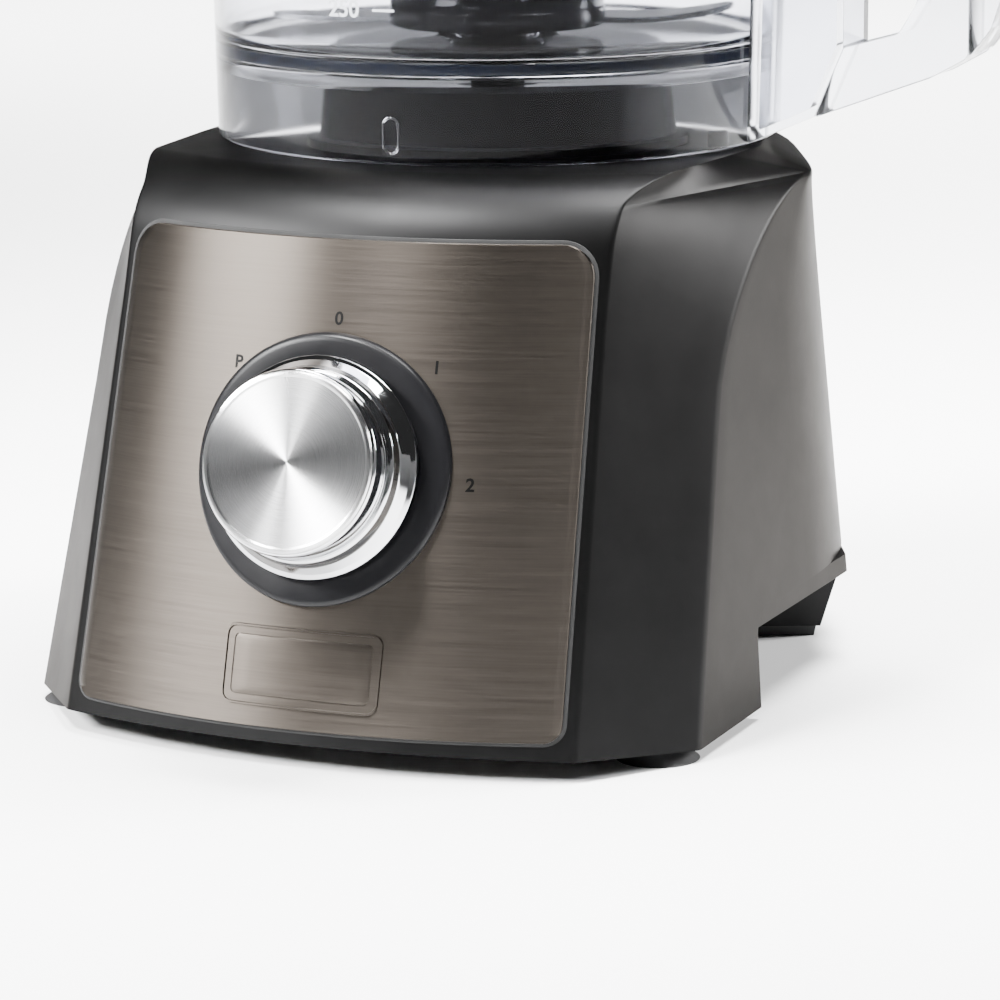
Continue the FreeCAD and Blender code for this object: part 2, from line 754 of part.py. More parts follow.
def make_interlock():
    """The plunger that the bowl presses, its guide and spring, and the switch under it."""
    x = DIM["button_x"]

    def pin(radius, low, high):
        return Part.makeCylinder(radius, high - low, Vector(x, 0, low))

    guide_low, guide_floor, stem_rad = 134.0, 136.0, 2.0
    guide = pin(7.5, guide_low, 152.8)
    guide = guide.cut(pin(5.4, guide_floor, 166.0))
    guide = guide.cut(pin(stem_rad + 0.06, 130.0, 140.0))
    keep_shape("interlock_guide", guide)
    stem = pin(stem_rad, 130.5, 151.5)
    collar = pin(5.0, 150.8, 152.8)
    tip = pin(DIM["button_rad"], 152.5, 160.0)
    tip = tip.makeFillet(1.2, [tip.Edges[0]])
    keep_shape("interlock_plunger", stem.fuse([collar, tip]).removeSplitter())
    spring = coil_spring(3.6, 0.4, 13.8, 6)
    spring.translate(Vector(x, 0, guide_floor + 0.5))
    keep_shape("interlock_spring", spring)
    case = box((x - 10, -4, 115), (x + 10, 4, 126))
    button = box((x - 2, -1.5, 125.5), (x + 2, 1.5, 127.2))
    keep_shape("interlock_switch", case.fuse(button).removeSplitter())


def leg_block(start, low, high, inner, outer_low, outer_high):
    """One rear leg: a sector of a ring that widens upwards, from the angle start."""
    corners = [
        Vector(inner, 0, low),
        Vector(outer_low, 0, low),
        Vector(outer_high, 0, high),
        Vector(inner - 2.0, 0, high),
    ]
    face = Part.Face(Part.makePolygon(corners + [corners[0]]))
    middle, upright = Vector(0, 0, 0), Vector(0, 0, 1)
    leg = face.revolve(middle, upright, DIM["leg_sweep"])
    leg.rotate(middle, upright, start)
    return leg


def make_feet():
    discs = []
    for index, side in enumerate(("0 - 88", "88")):
        sizes = {"Radius1": "foot_rad", "Radius2": "foot_rad - 5", "Height": "front_under - 0.1"}
        discs.append(primitive("Cone", "foot_disc_%d" % index, sizes, (side, "0 - 104", "0")))
    group("front_feet", discs)
    right = DIM["leg_start"]
    left = 180 - right - DIM["leg_sweep"]
    leg_top = DIM["rear_under"] - DIM["cover_rear"] - 0.05
    pad_top = 3.0
    legs = []
    pads = []
    for start in (right, left):
        legs.append(leg_block(start, pad_top, leg_top, 70.0, 97.0, 104.0))
        pads.append(leg_block(start, 0.0, pad_top - 0.05, 72.0, 95.0, 95.6))
    keep_shape("rear_legs", Part.makeCompound(legs))
    keep_shape("rear_feet", Part.makeCompound(pads))


def make_screws():
    """Four slotted screw heads under the bottom cover, two in front and two at the rear."""
    places = [
        (60, -99, DIM["front_under"]),
        (44, 80, DIM["rear_under"] - DIM["cover_rear"]),
    ]
    heads = []
    for across, y, cover_low in places:
        for x in (-across, across):
            head = Part.makeCylinder(3.6, 1.6, Vector(x, y, cover_low - 1.65))
            slot = box((x - 2.6, y - 0.5, cover_low - 3), (x + 2.6, y + 0.5, cover_low - 1))
            heads.append(head.cut(slot))
    keep_shape("housing_screws", Part.makeCompound(heads))


def make_inlet():
    """A grommet in the rear wall, where the cord would come in."""
    high = DIM["inlet_high"]
    outside = rear_middle(high).y

    def spool(radius, start, length):
        return Part.makeCylinder(radius, length, Vector(0, outside + start, high), BACKWARDS)

    stem = spool(DIM["inlet_hole"] - 0.1, -6.0, 8.0)
    inner_lip = spool(DIM["inlet_lip"], -7.5, 2.5)
    outer_lip = spool(DIM["inlet_lip"], 1.0, 2.6)
    bore = spool(DIM["inlet_bore"], -20.0, 40.0)
    grommet = stem.fuse([inner_lip, outer_lip]).cut(bore)
    keep_shape("cord_inlet", grommet.removeSplitter())


# ---------------------------------------------------------------- knob

def make_knob():
    turned("knob_body", [
        ("4.5", "3.6"),
        ("knob_skirt", "3.6"),
        ("knob_skirt", "6.2"),
        ("knob_skirt - 2.2", "8.6"),
        ("knob_skirt - 4.4", "9.2"),
        ("knob_skirt - 4.4", "10.8"),
        ("knob_grip + 1.2", "11.6"),
        ("knob_grip", "20.6"),
        ("knob_grip - 0.5", "21.2"),
        ("4.5", "21.2"),
    ], knob_axis=True)
    turned("knob_cap", [
        ("0", "21.3"),
        ("knob_grip - 0.7", "21.3"),
        ("knob_grip - 0.7", "knob_tall - 0.3"),
        ("knob_grip - 1.2", "knob_tall"),
        ("0", "knob_tall"),
    ], knob_axis=True)
    turned("knob_shaft", [
        ("0", "0 - 21"),
        ("knob_rod", "0 - 21"),
        ("knob_rod", "3"),
        ("4.4", "3.2"),
        ("4.4", "20"),
        ("0", "20"),
    ], knob_axis=True)


# ---------------------------------------------------------------- rotor

def make_rotor():
    turned("motor_shaft", [
        ("0", "41"),
        ("shaft_rad", "41"),
        ("shaft_rad", "172"),
        ("shaft_rad - 0.5", "172.5"),
        ("0", "172.5"),
    ])
    turned("drive_spindle", [
        ("shaft_rad", "157.5"),
        ("spindle_rad", "157.5"),
        ("spindle_rad", "240"),
        ("spindle_rad - 1.5", "242"),
        ("0", "242"),
        ("0", "172.6"),
        ("shaft_rad", "172.6"),
    ])
    core = new_body("armature_core")
    revolve(core, [("shaft_rad", "stack_low"), ("stack_bore - 0.8", "stack_low"),
                   ("stack_bore - 0.8", "stack_high"), ("shaft_rad", "stack_high")])
    doc.recompute()
    sketch = empty_sketch(core, "XY_Plane", "stack_low")
    polygon(sketch, [("16", "0 - 1"), ("stack_bore + 2", "0 - 1"),
                     ("stack_bore + 2", "1"), ("16", "1")])
    slot = pocket(core, sketch, "stack_high - stack_low")
    slots = core.newObject("PartDesign::PolarPattern", "armature_slots")
    slots.Originals = [slot]
    slots.Axis = (sketch, ["N_Axis"])
    slots.Angle = 360
    slots.Occurrences = 12
    core.Tip = slots
    keep(core, "armature_core")
    ring("commutator", "shaft_rad", "11", "61", "76")
    ring("armature_winding", "shaft_rad + 4", "18", "stack_high + 0.1", "stack_high + 6")
    fan = new_body("cooling_fan")
    revolve(fan, [("shaft_rad", "128"), ("33", "128"), ("33", "129.4"), ("8", "129.4"),
                  ("8", "137"), ("shaft_rad", "137")])
    doc.recompute()
    sketch = empty_sketch(fan, "XY_Plane", "129.3")
    polygon(sketch, [("12", "0 - 1"), ("32.6", "3.4"), ("32.6", "5"), ("12", "0.6")])
    vane = fan.newObject("PartDesign::Pad", "fan_vane")
    vane.Profile = sketch
    vane.Length = 7.2
    vanes = fan.newObject("PartDesign::PolarPattern", "fan_vanes")
    vanes.Originals = [vane]
    vanes.Axis = (sketch, ["N_Axis"])
    vanes.Angle = 360
    vanes.Occurrences = 12
    fan.Tip = vanes
    keep(fan, "cooling_fan")


# ---------------------------------------------------------------- bowl and handle

def make_bowl():
    turned("bowl", [
        ("bowl_low - bowl_wall", "bowl_foot"),
        ("bowl_low", "bowl_foot"),
        ("bowl_high", "bowl_rim"),
        ("bowl_high - bowl_wall", "bowl_rim"),
        ("bowl_low - bowl_wall + 0.5", "bowl_floor"),
        ("tube_outer", "bowl_floor"),
        ("tube_outer", "tube_top"),
        ("tube_inner", "tube_top"),
        ("tube_inner", "bowl_floor - 3"),
        ("bowl_low - bowl_wall", "bowl_floor - 3"),
    ])
    half = DIM["grip_half"]
    out = DIM["channel_out"]
    rim = DIM["bowl_rim"]
    shelf = DIM["lid_rim"] + 1.3
    channel = prism_y([(76, 156.6), (82, 156.6), (101.6, 165), (out, 184.6), (out, rim - 4),
                       (shelf, rim - 4), (shelf, rim - 12), (76, rim - 12)], -half, half)
    room = prism_y([(70, 150), (99, 150), (out - 2.4, 184.6), (out - 2.4, rim + 4),
                    (70, rim + 4)], -half + 2.4, half - 2.4)
    wall = Part.makeCone(DIM["bowl_low"] + 0.02, DIM["bowl_high"] + 0.02,
                         rim - DIM["bowl_foot"], Vector(0, 0, DIM["bowl_foot"]))
    keep_shape("handle_channel", channel.cut(room).cut(wall))


def prism_y(places, front, back):
    """A flat outline in X and Z, given a depth along Y."""
    corners = [Vector(x, front, z) for x, z in places]
    face = Part.Face(Part.makePolygon(corners + [corners[0]]))
    return face.extrude(Vector(0, back - front, 0))


def make_handle():
    body = new_body("bowl_handle")
    sketch = empty_sketch(body, "XZ_Plane")
    polygon(sketch, [
        ("101.9", "165.1"),
        ("135.4", "177.2"),
        ("grip_split", "183.3"),
        ("grip_split", "bowl_rim - 9"),
        ("138", "bowl_rim - 5"),
        ("channel_out + 0.1", "bowl_rim - 5"),
        ("channel_out + 0.1", "bowl_rim - 21"),
        ("126", "bowl_rim - 24"),
        ("grip_in", "bowl_rim - 31"),
        ("grip_in", "199"),
        ("129.8", "192"),
        ("126.2", "188.9"),
        ("channel_out + 0.1", "184.4"),
    ])
    pad(body, sketch, "grip_half * 2", True)
    keep(body, "bowl_handle")
    cover = new_body("handle_cover")
    sketch = empty_sketch(cover, "XZ_Plane")
    polygon(sketch, [
        ("grip_split + 0.05", "183.4"),
        ("152.7", "191.4"),
        ("grip_out - 1.2", "200"),
        ("grip_out", "215"),
        ("grip_out", "265"),
        ("grip_out - 3", "279"),
        ("grip_split + 0.05", "bowl_rim - 9"),
    ])
    pad(cover, sketch, "grip_half * 2", True)
    keep(cover, "handle_cover")


# ---------------------------------------------------------------- blades

def make_blades():
    turned("blade_hub", [
        ("tube_outer + 0.4", "hub_low"),
        ("hub_wide", "hub_low"),
        ("hub_wide", "hub_low + 20"),
        ("20", "hub_low + 40"),
        ("16", "hub_low + 46"),
        ("16", "hub_high - 6"),
        ("12", "hub_high"),
        ("0", "hub_high"),
        ("0", "244"),
        ("spindle_rad + 0.3", "244"),
        ("spindle_rad + 0.3", "tube_top + 1"),
        ("tube_outer + 0.4", "tube_top + 1"),
    ])
    keep_shape("lower_blade", wing_pair(DIM["hub_wide"] + 0.02, 188.6, 15.0, 22.0))
    keep_shape("upper_blade", wing_pair(16.02, 236.0, 11.0, 112.0))


def wing_pair(root, low, chord, turn):
    """Two curved blade wings, opposite each other, turned about the drive axis."""
    tip = DIM["blade_reach"]
    inner = root - 6.0
    edge = [
        Part.Arc(Vector(inner, -chord, 0), Vector((inner + tip) / 2, -chord * 1.1, 0),
                 Vector(tip - 3, -2, 0)).toShape(),
        Part.Arc(Vector(tip - 3, -2, 0), Vector(tip, 3, 0), Vector(tip - 5, 8, 0)).toShape(),
        Part.Arc(Vector(tip - 5, 8, 0), Vector((inner + tip) / 2, chord * 0.45, 0),
                 Vector(inner, chord * 0.8, 0)).toShape(),
        Part.LineSegment(Vector(inner, chord * 0.8, 0), Vector(inner, -chord, 0)).toShape(),
    ]
    wing = Part.Face(Part.Wire(edge)).extrude(Vector(0, 0, DIM["blade_thick"]))
    wing.translate(Vector(0, 0, low))
    wing = wing.cut(Part.makeCylinder(root, 20, Vector(0, 0, low - 10)))
    pair = []
    for half_turn in (0, 180):
        copy = wing.copy()
        copy.rotate(Vector(0, 0, 0), Vector(0, 0, 1), turn + half_turn)
        pair.append(copy)
    return Part.makeCompound(pair)


# ---------------------------------------------------------------- lid and pushers

def make_lid():
    body = new_body("lid")
    revolve(body, [
        ("0", "lid_under"),
        ("lid_rim - 2.4", "lid_under"),
        ("lid_rim - 2.4", "lid_under - 12"),
        ("lid_rim", "lid_under - 12"),
        ("lid_rim", "lid_under + 1"),
        ("lid_rim - 2.6", "lid_under + 3.6"),
        ("lid_rim - 8", "lid_under + lid_thick"),
        ("0", "lid_under + lid_thick"),
    ])
    hollow_out(body, "chute_wide / 2 + 0.05", "chute_deep / 2 + 0.05", "chute_y",
               "lid_under - 5", "20")
    soften(body, "chute_round", upright_at("chute_wide / 2 + 0.05"))
    keep(body, "lid")
    chute = new_body("feed_chute")
    block(chute, "chute_wide / 2", "chute_deep / 2", "chute_y", "lid_under - 4",
          "chute_top - lid_under + 4")
    hollow_out(chute, "chute_wide / 2 - chute_wall", "chute_deep / 2 - chute_wall", "chute_y",
               "lid_under - 6", "chute_top - lid_under + 12")
    soften(chute, "chute_round - chute_wall", upright_at("chute_wide / 2 - chute_wall"))
    soften(chute, "chute_round", upright_at("chute_wide / 2"))
    keep(chute, "feed_chute")
    ring("lid_gasket", "bowl_high - bowl_wall + 0.2", "bowl_high - 0.2", "bowl_rim + 0.3",
         "lid_under - 0.05")
    turned("lid_bush", [
        ("0", "hub_high + 3"),
        ("4", "hub_high + 3"),
        ("6", "hub_high + 6"),
        ("6", "lid_under - 0.05"),
        ("0", "lid_under - 0.05"),
    ])
    lug = prism_y([(88.4, 287), (112, 293.5), (112, 298.5), (88.4, 298.2)], -9, 9)
    rim_round = Part.makeCylinder(DIM["lid_rim"] + 0.05, 30, Vector(0, 0, 280))
    keep_shape("lid_lug", lug.cut(rim_round))


def make_pushers():
    body = new_body("food_pusher")
    inset = "chute_wall + slide_gap"
    block(body, "chute_wide / 2 - (%s)" % inset, "chute_deep / 2 - (%s)" % inset,
          "chute_y", "lid_under + 4", "chute_top - lid_under - 4 + 0.5")
    soften(body, "chute_round - (%s)" % inset, upright_at("chute_wide / 2 - (%s)" % inset))
    doc.recompute()
    sketch = empty_sketch(body, "XY_Plane", "chute_top + 0.4")
    rectangle(sketch, "chute_wide / 2 + 1", "chute_deep / 2 + 1", "chute_y")
    pad(body, sketch, "pusher_top - chute_top - 0.4")
    soften(body, "chute_round", upright_at("chute_wide / 2 + 1"))
    drill(body, "cup_rad + slide_gap", [("0", "chute_y")], "lid_under + 2",
          "pusher_top - lid_under")
    keep(body, "food_pusher")
    cup = new_body("small_pusher")
    revolve(cup, [
        ("0", "lid_under + 6"),
        ("cup_rad", "lid_under + 6"),
        ("cup_rad", "pusher_top + 0.4"),
        ("cup_rad + 4", "pusher_top + 0.4"),
        ("cup_rad + 4", "cup_top"),
        ("cup_rad - 2", "cup_top"),
        ("cup_rad - 2", "lid_under + 9"),
        ("0", "lid_under + 9"),
    ])
    keep(cup, "small_pusher", base=("0", "chute_y", "0"))


# ---------------------------------------------------------------- build, check, write

make_housing()
make_bottom_cover()
make_front_panel()
make_bezel()
make_seat_and_bearings()
make_motor()
make_motor_screws()
make_brush_gear()
make_switch()
make_board()
make_interlock()
make_feet()
make_screws()
make_inlet()
make_knob()
make_rotor()
make_bowl()
make_handle()
make_blades()
make_lid()
make_pushers()
doc.recompute()

problems = []
for item in doc.Objects:
    if "Invalid" in item.State or "Error" in item.State:
        problems.append("%s: %s" % (item.Label, item.State))
for node in NODES:
    if node.Shape.isNull() or not node.Shape.isValid() or node.Shape.Volume <= 0:
        problems.append("%s: bad shape" % node.Label)
if problems:
    raise RuntimeError("; ".join(problems))

whole = FreeCAD.BoundBox()
for node in NODES:
    node.Shape.exportStep("parts/%s.step" % node.Label)
    whole.add(node.Shape.BoundBox)
    print("%-20s %4d solids %10.0f mm3" % (node.Label, len(node.Shape.Solids), node.Shape.Volume))
print("box", whole)
print("centre", whole.Center)
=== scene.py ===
"""The looks of the food processor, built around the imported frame.

Lengths are in mm about the drive axis, except on the stage, which is in metres.
"""

import math

import bmesh
import bpy
from mathutils import Matrix, Vector


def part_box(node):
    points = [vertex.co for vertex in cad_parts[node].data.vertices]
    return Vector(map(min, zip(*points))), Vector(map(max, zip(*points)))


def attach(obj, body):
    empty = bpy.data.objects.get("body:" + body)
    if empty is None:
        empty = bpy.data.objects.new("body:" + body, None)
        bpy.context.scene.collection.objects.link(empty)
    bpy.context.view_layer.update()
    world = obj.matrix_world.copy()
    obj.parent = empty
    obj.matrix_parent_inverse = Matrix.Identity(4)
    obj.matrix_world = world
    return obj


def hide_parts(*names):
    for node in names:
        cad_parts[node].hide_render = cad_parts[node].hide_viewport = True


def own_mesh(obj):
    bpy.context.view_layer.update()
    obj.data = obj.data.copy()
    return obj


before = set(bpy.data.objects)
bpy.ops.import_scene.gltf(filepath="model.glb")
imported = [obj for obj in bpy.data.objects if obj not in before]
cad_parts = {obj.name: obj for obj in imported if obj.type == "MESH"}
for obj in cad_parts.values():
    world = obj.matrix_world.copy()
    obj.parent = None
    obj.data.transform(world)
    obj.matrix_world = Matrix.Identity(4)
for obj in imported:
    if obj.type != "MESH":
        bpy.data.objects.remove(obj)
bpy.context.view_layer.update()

MM = 0.001
hub_low, hub_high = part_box("blade_hub")
AXIS = (Vector(hub_low) + Vector(hub_high)) / 2
AXIS.z = 0.0

# ---------------------------------------------------------------- sizes, mm about the drive axis

DECK = 155.6
SLOPE = math.radians(16)
CONE_Y, CONE_BASE, CONE_BEND = 65.0, 216.9, 27.0
WALL = 2.6
FRONT_UNDER, REAR_UNDER, NOTCH_Y, NOTCH_ROUND = 3.4, 31.0, -58.0, 9.0
LIFT_START, FRONT_LIFT = -105.0, 0.075
SHOULDER = 148.5
KNOB_Y, KNOB_HIGH = -130.2, 79.2
PANEL_LOW, PANEL_HIGH = 10.8, 139.5
PANEL_HALF_LOW, PANEL_HALF_HIGH = 72.4, 68.6
PANEL_ROUND_LOW, PANEL_ROUND_HIGH = 4.5, 9.0
PANEL_STAND, PANEL_THICK = 0.05, 0.9
FACE = PANEL_STAND + PANEL_THICK
BOWL_FOOT, BOWL_FLOOR, BOWL_RIM = 156.0, 184.0, 296.0
BOWL_LOW, BOWL_HIGH, BOWL_WALL = 82.5, 85.0, 2.5
BOWL_CEILING, TUBE_TOP, TUBE_BORE = BOWL_FLOOR - 3.2, 228.0, 9.2
LID_UNDER, LID_THICK, LID_RIM, LID_SKIRT = 297.2, 2.6, 88.3, 12
CHUTE_TOP, PUSHER_TOP, CUP_TOP = 372.0, 392.0, 402.0
CHUTE_Y, CHUTE_WIDE, CHUTE_DEEP, CHUTE_ROUND, CHUTE_WALL = 36.0, 72.0, 52.0, 12.0, 2.4
CUP_RAD, CUP_BORE, CUP_BRIM, CUP_WELL = 14.0, 12.0, 18.0, 14.5

# the housing's side: where its corners are at the floor and how they lean with height
EDGE_HALF, EDGE_TAPER, EDGE_STRAIGHT = 76.6, 4.4, 120
FLARE, FLARE_START, FLARE_RUN = 7.0, 147, 8.6
CREASE, CREASE_DRAFT, CREASE_STRAIGHT = (100.9, -106.7), (0.06, 0.333), 95.0
CREASE_OUT, CREASE_SWEEP = 3.8, 50.0
WAIST, WAIST_DRAFT = (105.5, 24.0), (0.04, 0.175)
REAR_TURN, REAR_RUN, REAR_RUN_DRAFT = math.radians(24), 52.0, 0.06
REAR_Y, REAR_DRAFT = 99.0, 0.075
OVER_CREASE, OVER_WAIST, OVER_RUN, OVER_REAR = (2.32, 3.1), (2.18, -0.28), 0.9, 0.5
SOFT_EDGE, SOFT_CREASE, SOFT_WAIST, SOFT_CORNER, SOFT_SHOULDER = 1.1, 1.6, 34.0, 16.0, 1.6
BEND_START, ROOF_START = 124.0, 110.0
INLET_RAD, INLET_Y, INLET_HIGH = 7.0, 95, 48
CUT_HALF, CUT_FRONT, CUT_BACK, CUT_UNDER = 200, -250, 300, -5

# closed profiles: radius or distance out, height, and the corner's own radius where it is rounded
BEZEL = [(37.3, -0.02), (37.3, 1.2), (36.9, 1.8), (36.2, 2.15), (35.2, 2.2), (30.6, 2.2), (29.4, 2.0),
         (28.4, 1.2), (27.5, 0.9), (27.5, -0.02)]
KNOB_BODY = [(8.0, 3.6), (29.6, 3.6, 0.3), (30.5, 4.0, 0.4), (30.5, 5.0, 0.5), (29.2, 6.0, 1.2),
             (27.2, 8.4, 2.4), (26.6, 11.6, 1.0), (25.9, 12.2, 0.2), (25.5, 12.0, 0.2), (25.3, 12.9, 0.3),
             (25.4, 20.4, 0.5), (25.0, 21.1, 0.3), (24.4, 21.3), (8.0, 21.3)]
KNOB_CAP = [(0.02, 20.6), (24.6, 20.6), (24.75, 21.1, 0.1), (24.3, 21.9, 0.35), (23.4, 22.0, 0.2),
            (22.8, 21.75, 0.2), (0.02, 21.75)]
HUB = [(12.9, 187.1), (31.2, 187.1, 0.4), (31.8, 187.7, 0.4), (31.8, 192.4, 0.8), (28.2, 194.0, 1.5),
       (27.4, 196.0, 1.0), (27.4, 222.0, 10.0), (21.0, 233.0, 10.0), (16.4, 241.0, 6.0), (15.8, 256.0, 4.0),
       (11.0, 262.0, 2.0), (0.03, 262.0), (0.03, 245.0), (8.3, 245.0), (8.3, 229.5), (12.9, 229.5)]
CHANNEL = [(76, 156.6), (82, 156.6, 0.5), (101.6, 165, 1.0), (110, 184.6, 1.0), (110, 292, 1.0),
           (89.6, 292, 0.5), (89.6, 284, 0.5), (76, 284)]
CHANNEL_HOLLOW = [(84.6, 160.2, 0.5), (100.0, 167.2, 1.0), (107.6, 185.2, 1.0), (107.6, 289.6, 1.0),
                  (91.2, 289.6, 0.5), (91.2, 282, 0.5), (87.8, 282, 0.5)]
GRIP = [(101.9, 164.9, 0.5), (135.4, 177.2, 6.0), (146.2, 183.2, 3.0), (146.2, 283.0, 3.0),
        (135.0, 290.0, 6.0), (110.2, 292.0, 0.5), (110.2, 279.0, 0.5), (126.0, 277.0, 4.0),
        (131.5, 270.0, 5.0), (131.5, 198.0, 5.0), (126.2, 189.0, 4.0), (110.2, 184.6, 0.5)]
GRIP_COVER = [(146.5, 183.4, 0.5), (152.7, 191.4, 4.0), (157.0, 205.0, 10.0), (157.0, 264.0, 10.0),
              (153.0, 276.0, 5.0), (146.5, 282.6, 0.5)]
HANDLE_HALF, HANDLE_WALL = 12.0, 2.4

# generic marks: text and its place
LEGENDS = (("0", 1.4, 41.0), ("1", 30.4, 28.9), ("2", 42.5, -2.5), ("P", -28.2, 27.1))
LEGEND_SIZE = 5.0
MARKS = (("250", 198.6), ("500", 216.6), ("750", 234.6), ("1000", 252.6), ("1250", 270.6))
MARK_SIZE, MARK_TURN, HALF_MARK = 6.6, math.radians(-8.5), 9.0
BADGE_BAND, BADGE_PLATE = (-23, -65.2, 23, -44, 3.4), (-20.6, -62.8, 20.6, -46.4, 1.8)

# ---------------------------------------------------------------- materials


class Finish:
    """A material with a Principled surface and short ways to add detail to it."""

    def __init__(self, name, colour, rough, metal=0.0):
        self.material = bpy.data.materials.new(name)
        self.material.use_nodes = True
        self.tree = self.material.node_tree
        self.surface = self.tree.nodes["Principled BSDF"]
        self.set("Base Color", (*colour, 1.0))
        self.set("Roughness", rough)
        self.set("Metallic", metal)
        self.bumps = None

    def set(self, socket, value):
        self.surface.inputs[socket].default_value = value

    def node(self, kind, inputs=None, **settings):
        made = self.tree.nodes.new("ShaderNode" + kind)
        for key, value in settings.items():
            setattr(made, key, value)
        for key, value in (inputs or {}).items():
            if hasattr(value, "is_output"):
                self.tree.links.new(value, made.inputs[key])
            else:
                made.inputs[key].default_value = value
        return made

    def place(self, scale=(1, 1, 1)):
        coords = self.node("TexCoord")
        return self.node("Mapping", {"Vector": coords.outputs["Object"], "Scale": scale}).outputs[0]

    def noise(self, scale, detail=3.0, rough=0.55, stretch=(1, 1, 1)):
        return self.node("TexNoise", {"Vector": self.place(stretch), "Scale": scale, "Detail": detail,
                                      "Roughness": rough}).outputs["Fac"]

    def ranged(self, source, low, high, start=0.3, end=0.7):
        return self.node("MapRange", {"Value": source, "From Min": start, "From Max": end,
                                      "To Min": low, "To Max": high}).outputs[0]

    def ramp(self, source, stops):
        made = self.node("ValToRGB", {"Fac": source})
        elements = made.color_ramp.elements
        while len(elements) < len(stops):
            elements.new(0.5)
        for element, (at, colour) in zip(elements, stops):
            element.position = at
            element.color = (*colour, 1.0)
        return made.outputs["Color"]

    def math(self, kind, first, second=0.0):
        return self.node("Math", {0: first, 1: second}, operation=kind).outputs[0]

    def wire(self, socket, source):
        self.tree.links.new(source, self.surface.inputs[socket])

    def bump(self, source, depth, strength=1.0):
        inputs = {"Height": source, "Distance": depth, "Strength": strength}
        if self.bumps:
            inputs["Normal"] = self.bumps
        self.bumps = self.node("Bump", inputs).outputs[0]
        self.wire("Normal", self.bumps)


def plastic(name, colour, rough, grain=2600.0, depth=0.00002, wear=0.06):
    """Moulded plastic with a fine grain and slightly uneven gloss."""
    made = Finish(name, colour, rough)
    lighter = tuple(min(1.0, c * 1.22 + 0.0005) for c in colour)
    cloud = made.noise(22.0, 4.0)
    made.wire("Base Color", made.ramp(cloud, [(0.3, colour), (0.75, lighter)]))
    patches = made.noise(60.0, 5.0, 0.6)
    made.wire("Roughness", made.ranged(patches, rough - wear, rough + wear))
    made.bump(made.noise(grain, 2.0), depth, 0.35)
    made.set("IOR", 1.5)
    return made


def brushed(name, colour, rough, stretch, streak, anisotropic, axis="Z"):
    """Metal brushed round an axis, or along x without one: stretch is small along the brushing."""
    made = Finish(name, colour, rough, 1.0)
    fine = made.noise(1.0, 6.0, 0.75, stretch)
    broad = made.noise(1.0, 2.0, 0.5, tuple(s * 0.45 for s in stretch))
    mixed = made.math("ADD", made.math("MULTIPLY", fine, 0.7), made.math("MULTIPLY", broad, 0.3))
    darker = tuple(c * (1 - streak * 1.6) for c in colour)
    lighter = tuple(min(1.0, c * (1 + streak)) for c in colour)
    made.wire("Base Color", made.ramp(mixed, [(0.36, darker), (0.64, lighter)]))
    made.wire("Roughness", made.ranged(mixed, rough - 0.03, rough + 0.04, 0.35, 0.65))
    made.bump(fine, 0.00001, 0.3)
    made.set("Anisotropic", anisotropic)
    made.set("Anisotropic Rotation", 0.25)
    if axis:
        tangent = made.node("Tangent", direction_type="RADIAL", axis=axis)
    else:
        tangent = made.node("VectorTransform", {"Vector": (1.0, 0.0, 0.0)}, vector_type="VECTOR",
                            convert_from="OBJECT", convert_to="WORLD")
    made.wire("Tangent", tangent.outputs[0])
    return made


def clear(name, tint, rough, scuff):
    """Clear plastic, a little scuffed."""
    made = Finish(name, tint, rough)
    made.set("Transmission Weight", 1.0)
    made.set("IOR", 1.47)
    made.set("Specular Tint", (0.2, 0.2, 0.2, 1.0))
    made.wire("Roughness", made.ranged(made.noise(70.0, 5.0, 0.65), rough, rough + scuff, 0.45, 0.8))
    made.bump(made.noise(14.0, 2.0), 0.0003, 0.25)
    return made


HOUSING = plastic("satin_charcoal", (0.0116, 0.0116, 0.0117), 0.43, 1900.0, 0.00003, 0.02)
HOUSING.set("Metallic", 1.0)
HOUSING.set("Specular Tint", (0.58, 0.57, 0.56, 1.0))
TRIM = plastic("dark_trim", (0.005, 0.005, 0.0057), 0.34)
TRIM.set("Specular IOR Level", 0.15)
SEAT = plastic("seat_black", (0.003, 0.003, 0.0035), 0.5)
SEAT.set("Specular IOR Level", 0.15)
# painted shade: a near-black colour for the shaded gap round the front panel
GAP_SHADE = plastic("painted_gap_shade", (0.004, 0.004, 0.004), 0.75)
GLOSS = plastic("gloss_black", (0.003, 0.003, 0.004), 0.10, 900.0, 0.00001, 0.03)
GLOSS.set("Specular IOR Level", 0.15)
RUBBER = plastic("rubber_black", (0.010, 0.010, 0.0105), 0.72, 1400.0, 0.00005)
GREY = plastic("grey_plastic", (0.17, 0.175, 0.18), 0.42)
PANEL = brushed("brushed_gunmetal", (0.050, 0.0435, 0.0375), 0.34, (40, 60, 2600), 0.07, 0.9, None)
STEEL = brushed("blade_steel", (0.66, 0.67, 0.69), 0.13, (900, 30, 30), 0.06, 0.4)
ALUMINIUM = brushed("bright_aluminium", (0.62, 0.63, 0.645), 0.30, (60, 60, 60), 0.05, 0.2)
CHROME = Finish("polished_chrome", (0.80, 0.81, 0.83), 0.05, 1.0)
CHROME.wire("Roughness", CHROME.ranged(CHROME.noise(160.0, 5.0, 0.7), 0.035, 0.10, 0.4, 0.8))
CHROME.bump(CHROME.noise(60.0, 2.0), 0.00004, 0.2)
CLEAR = clear("clear_plastic", (0.89, 0.90, 0.945), 0.05, 0.04)
CLEAR_HANDLE = clear("clear_handle", (0.86, 0.875, 0.93), 0.10, 0.08)
# painted shade: the bowl floor's thick edge is clear plastic, given a near-black colour here for how it
# looks dark through the wall
EDGE_SHADE = plastic("painted_edge_shade", (0.006, 0.008, 0.015), 0.12, 900.0, 0.00001, 0.03)
EDGE_SHADE.set("Specular IOR Level", 0.15)
INK = plastic("printed_ink", (0.002, 0.002, 0.002), 0.45)
INK.set("Specular IOR Level", 0.1)
PALE_INK = plastic("pale_marking", (0.50, 0.52, 0.56), 0.5)

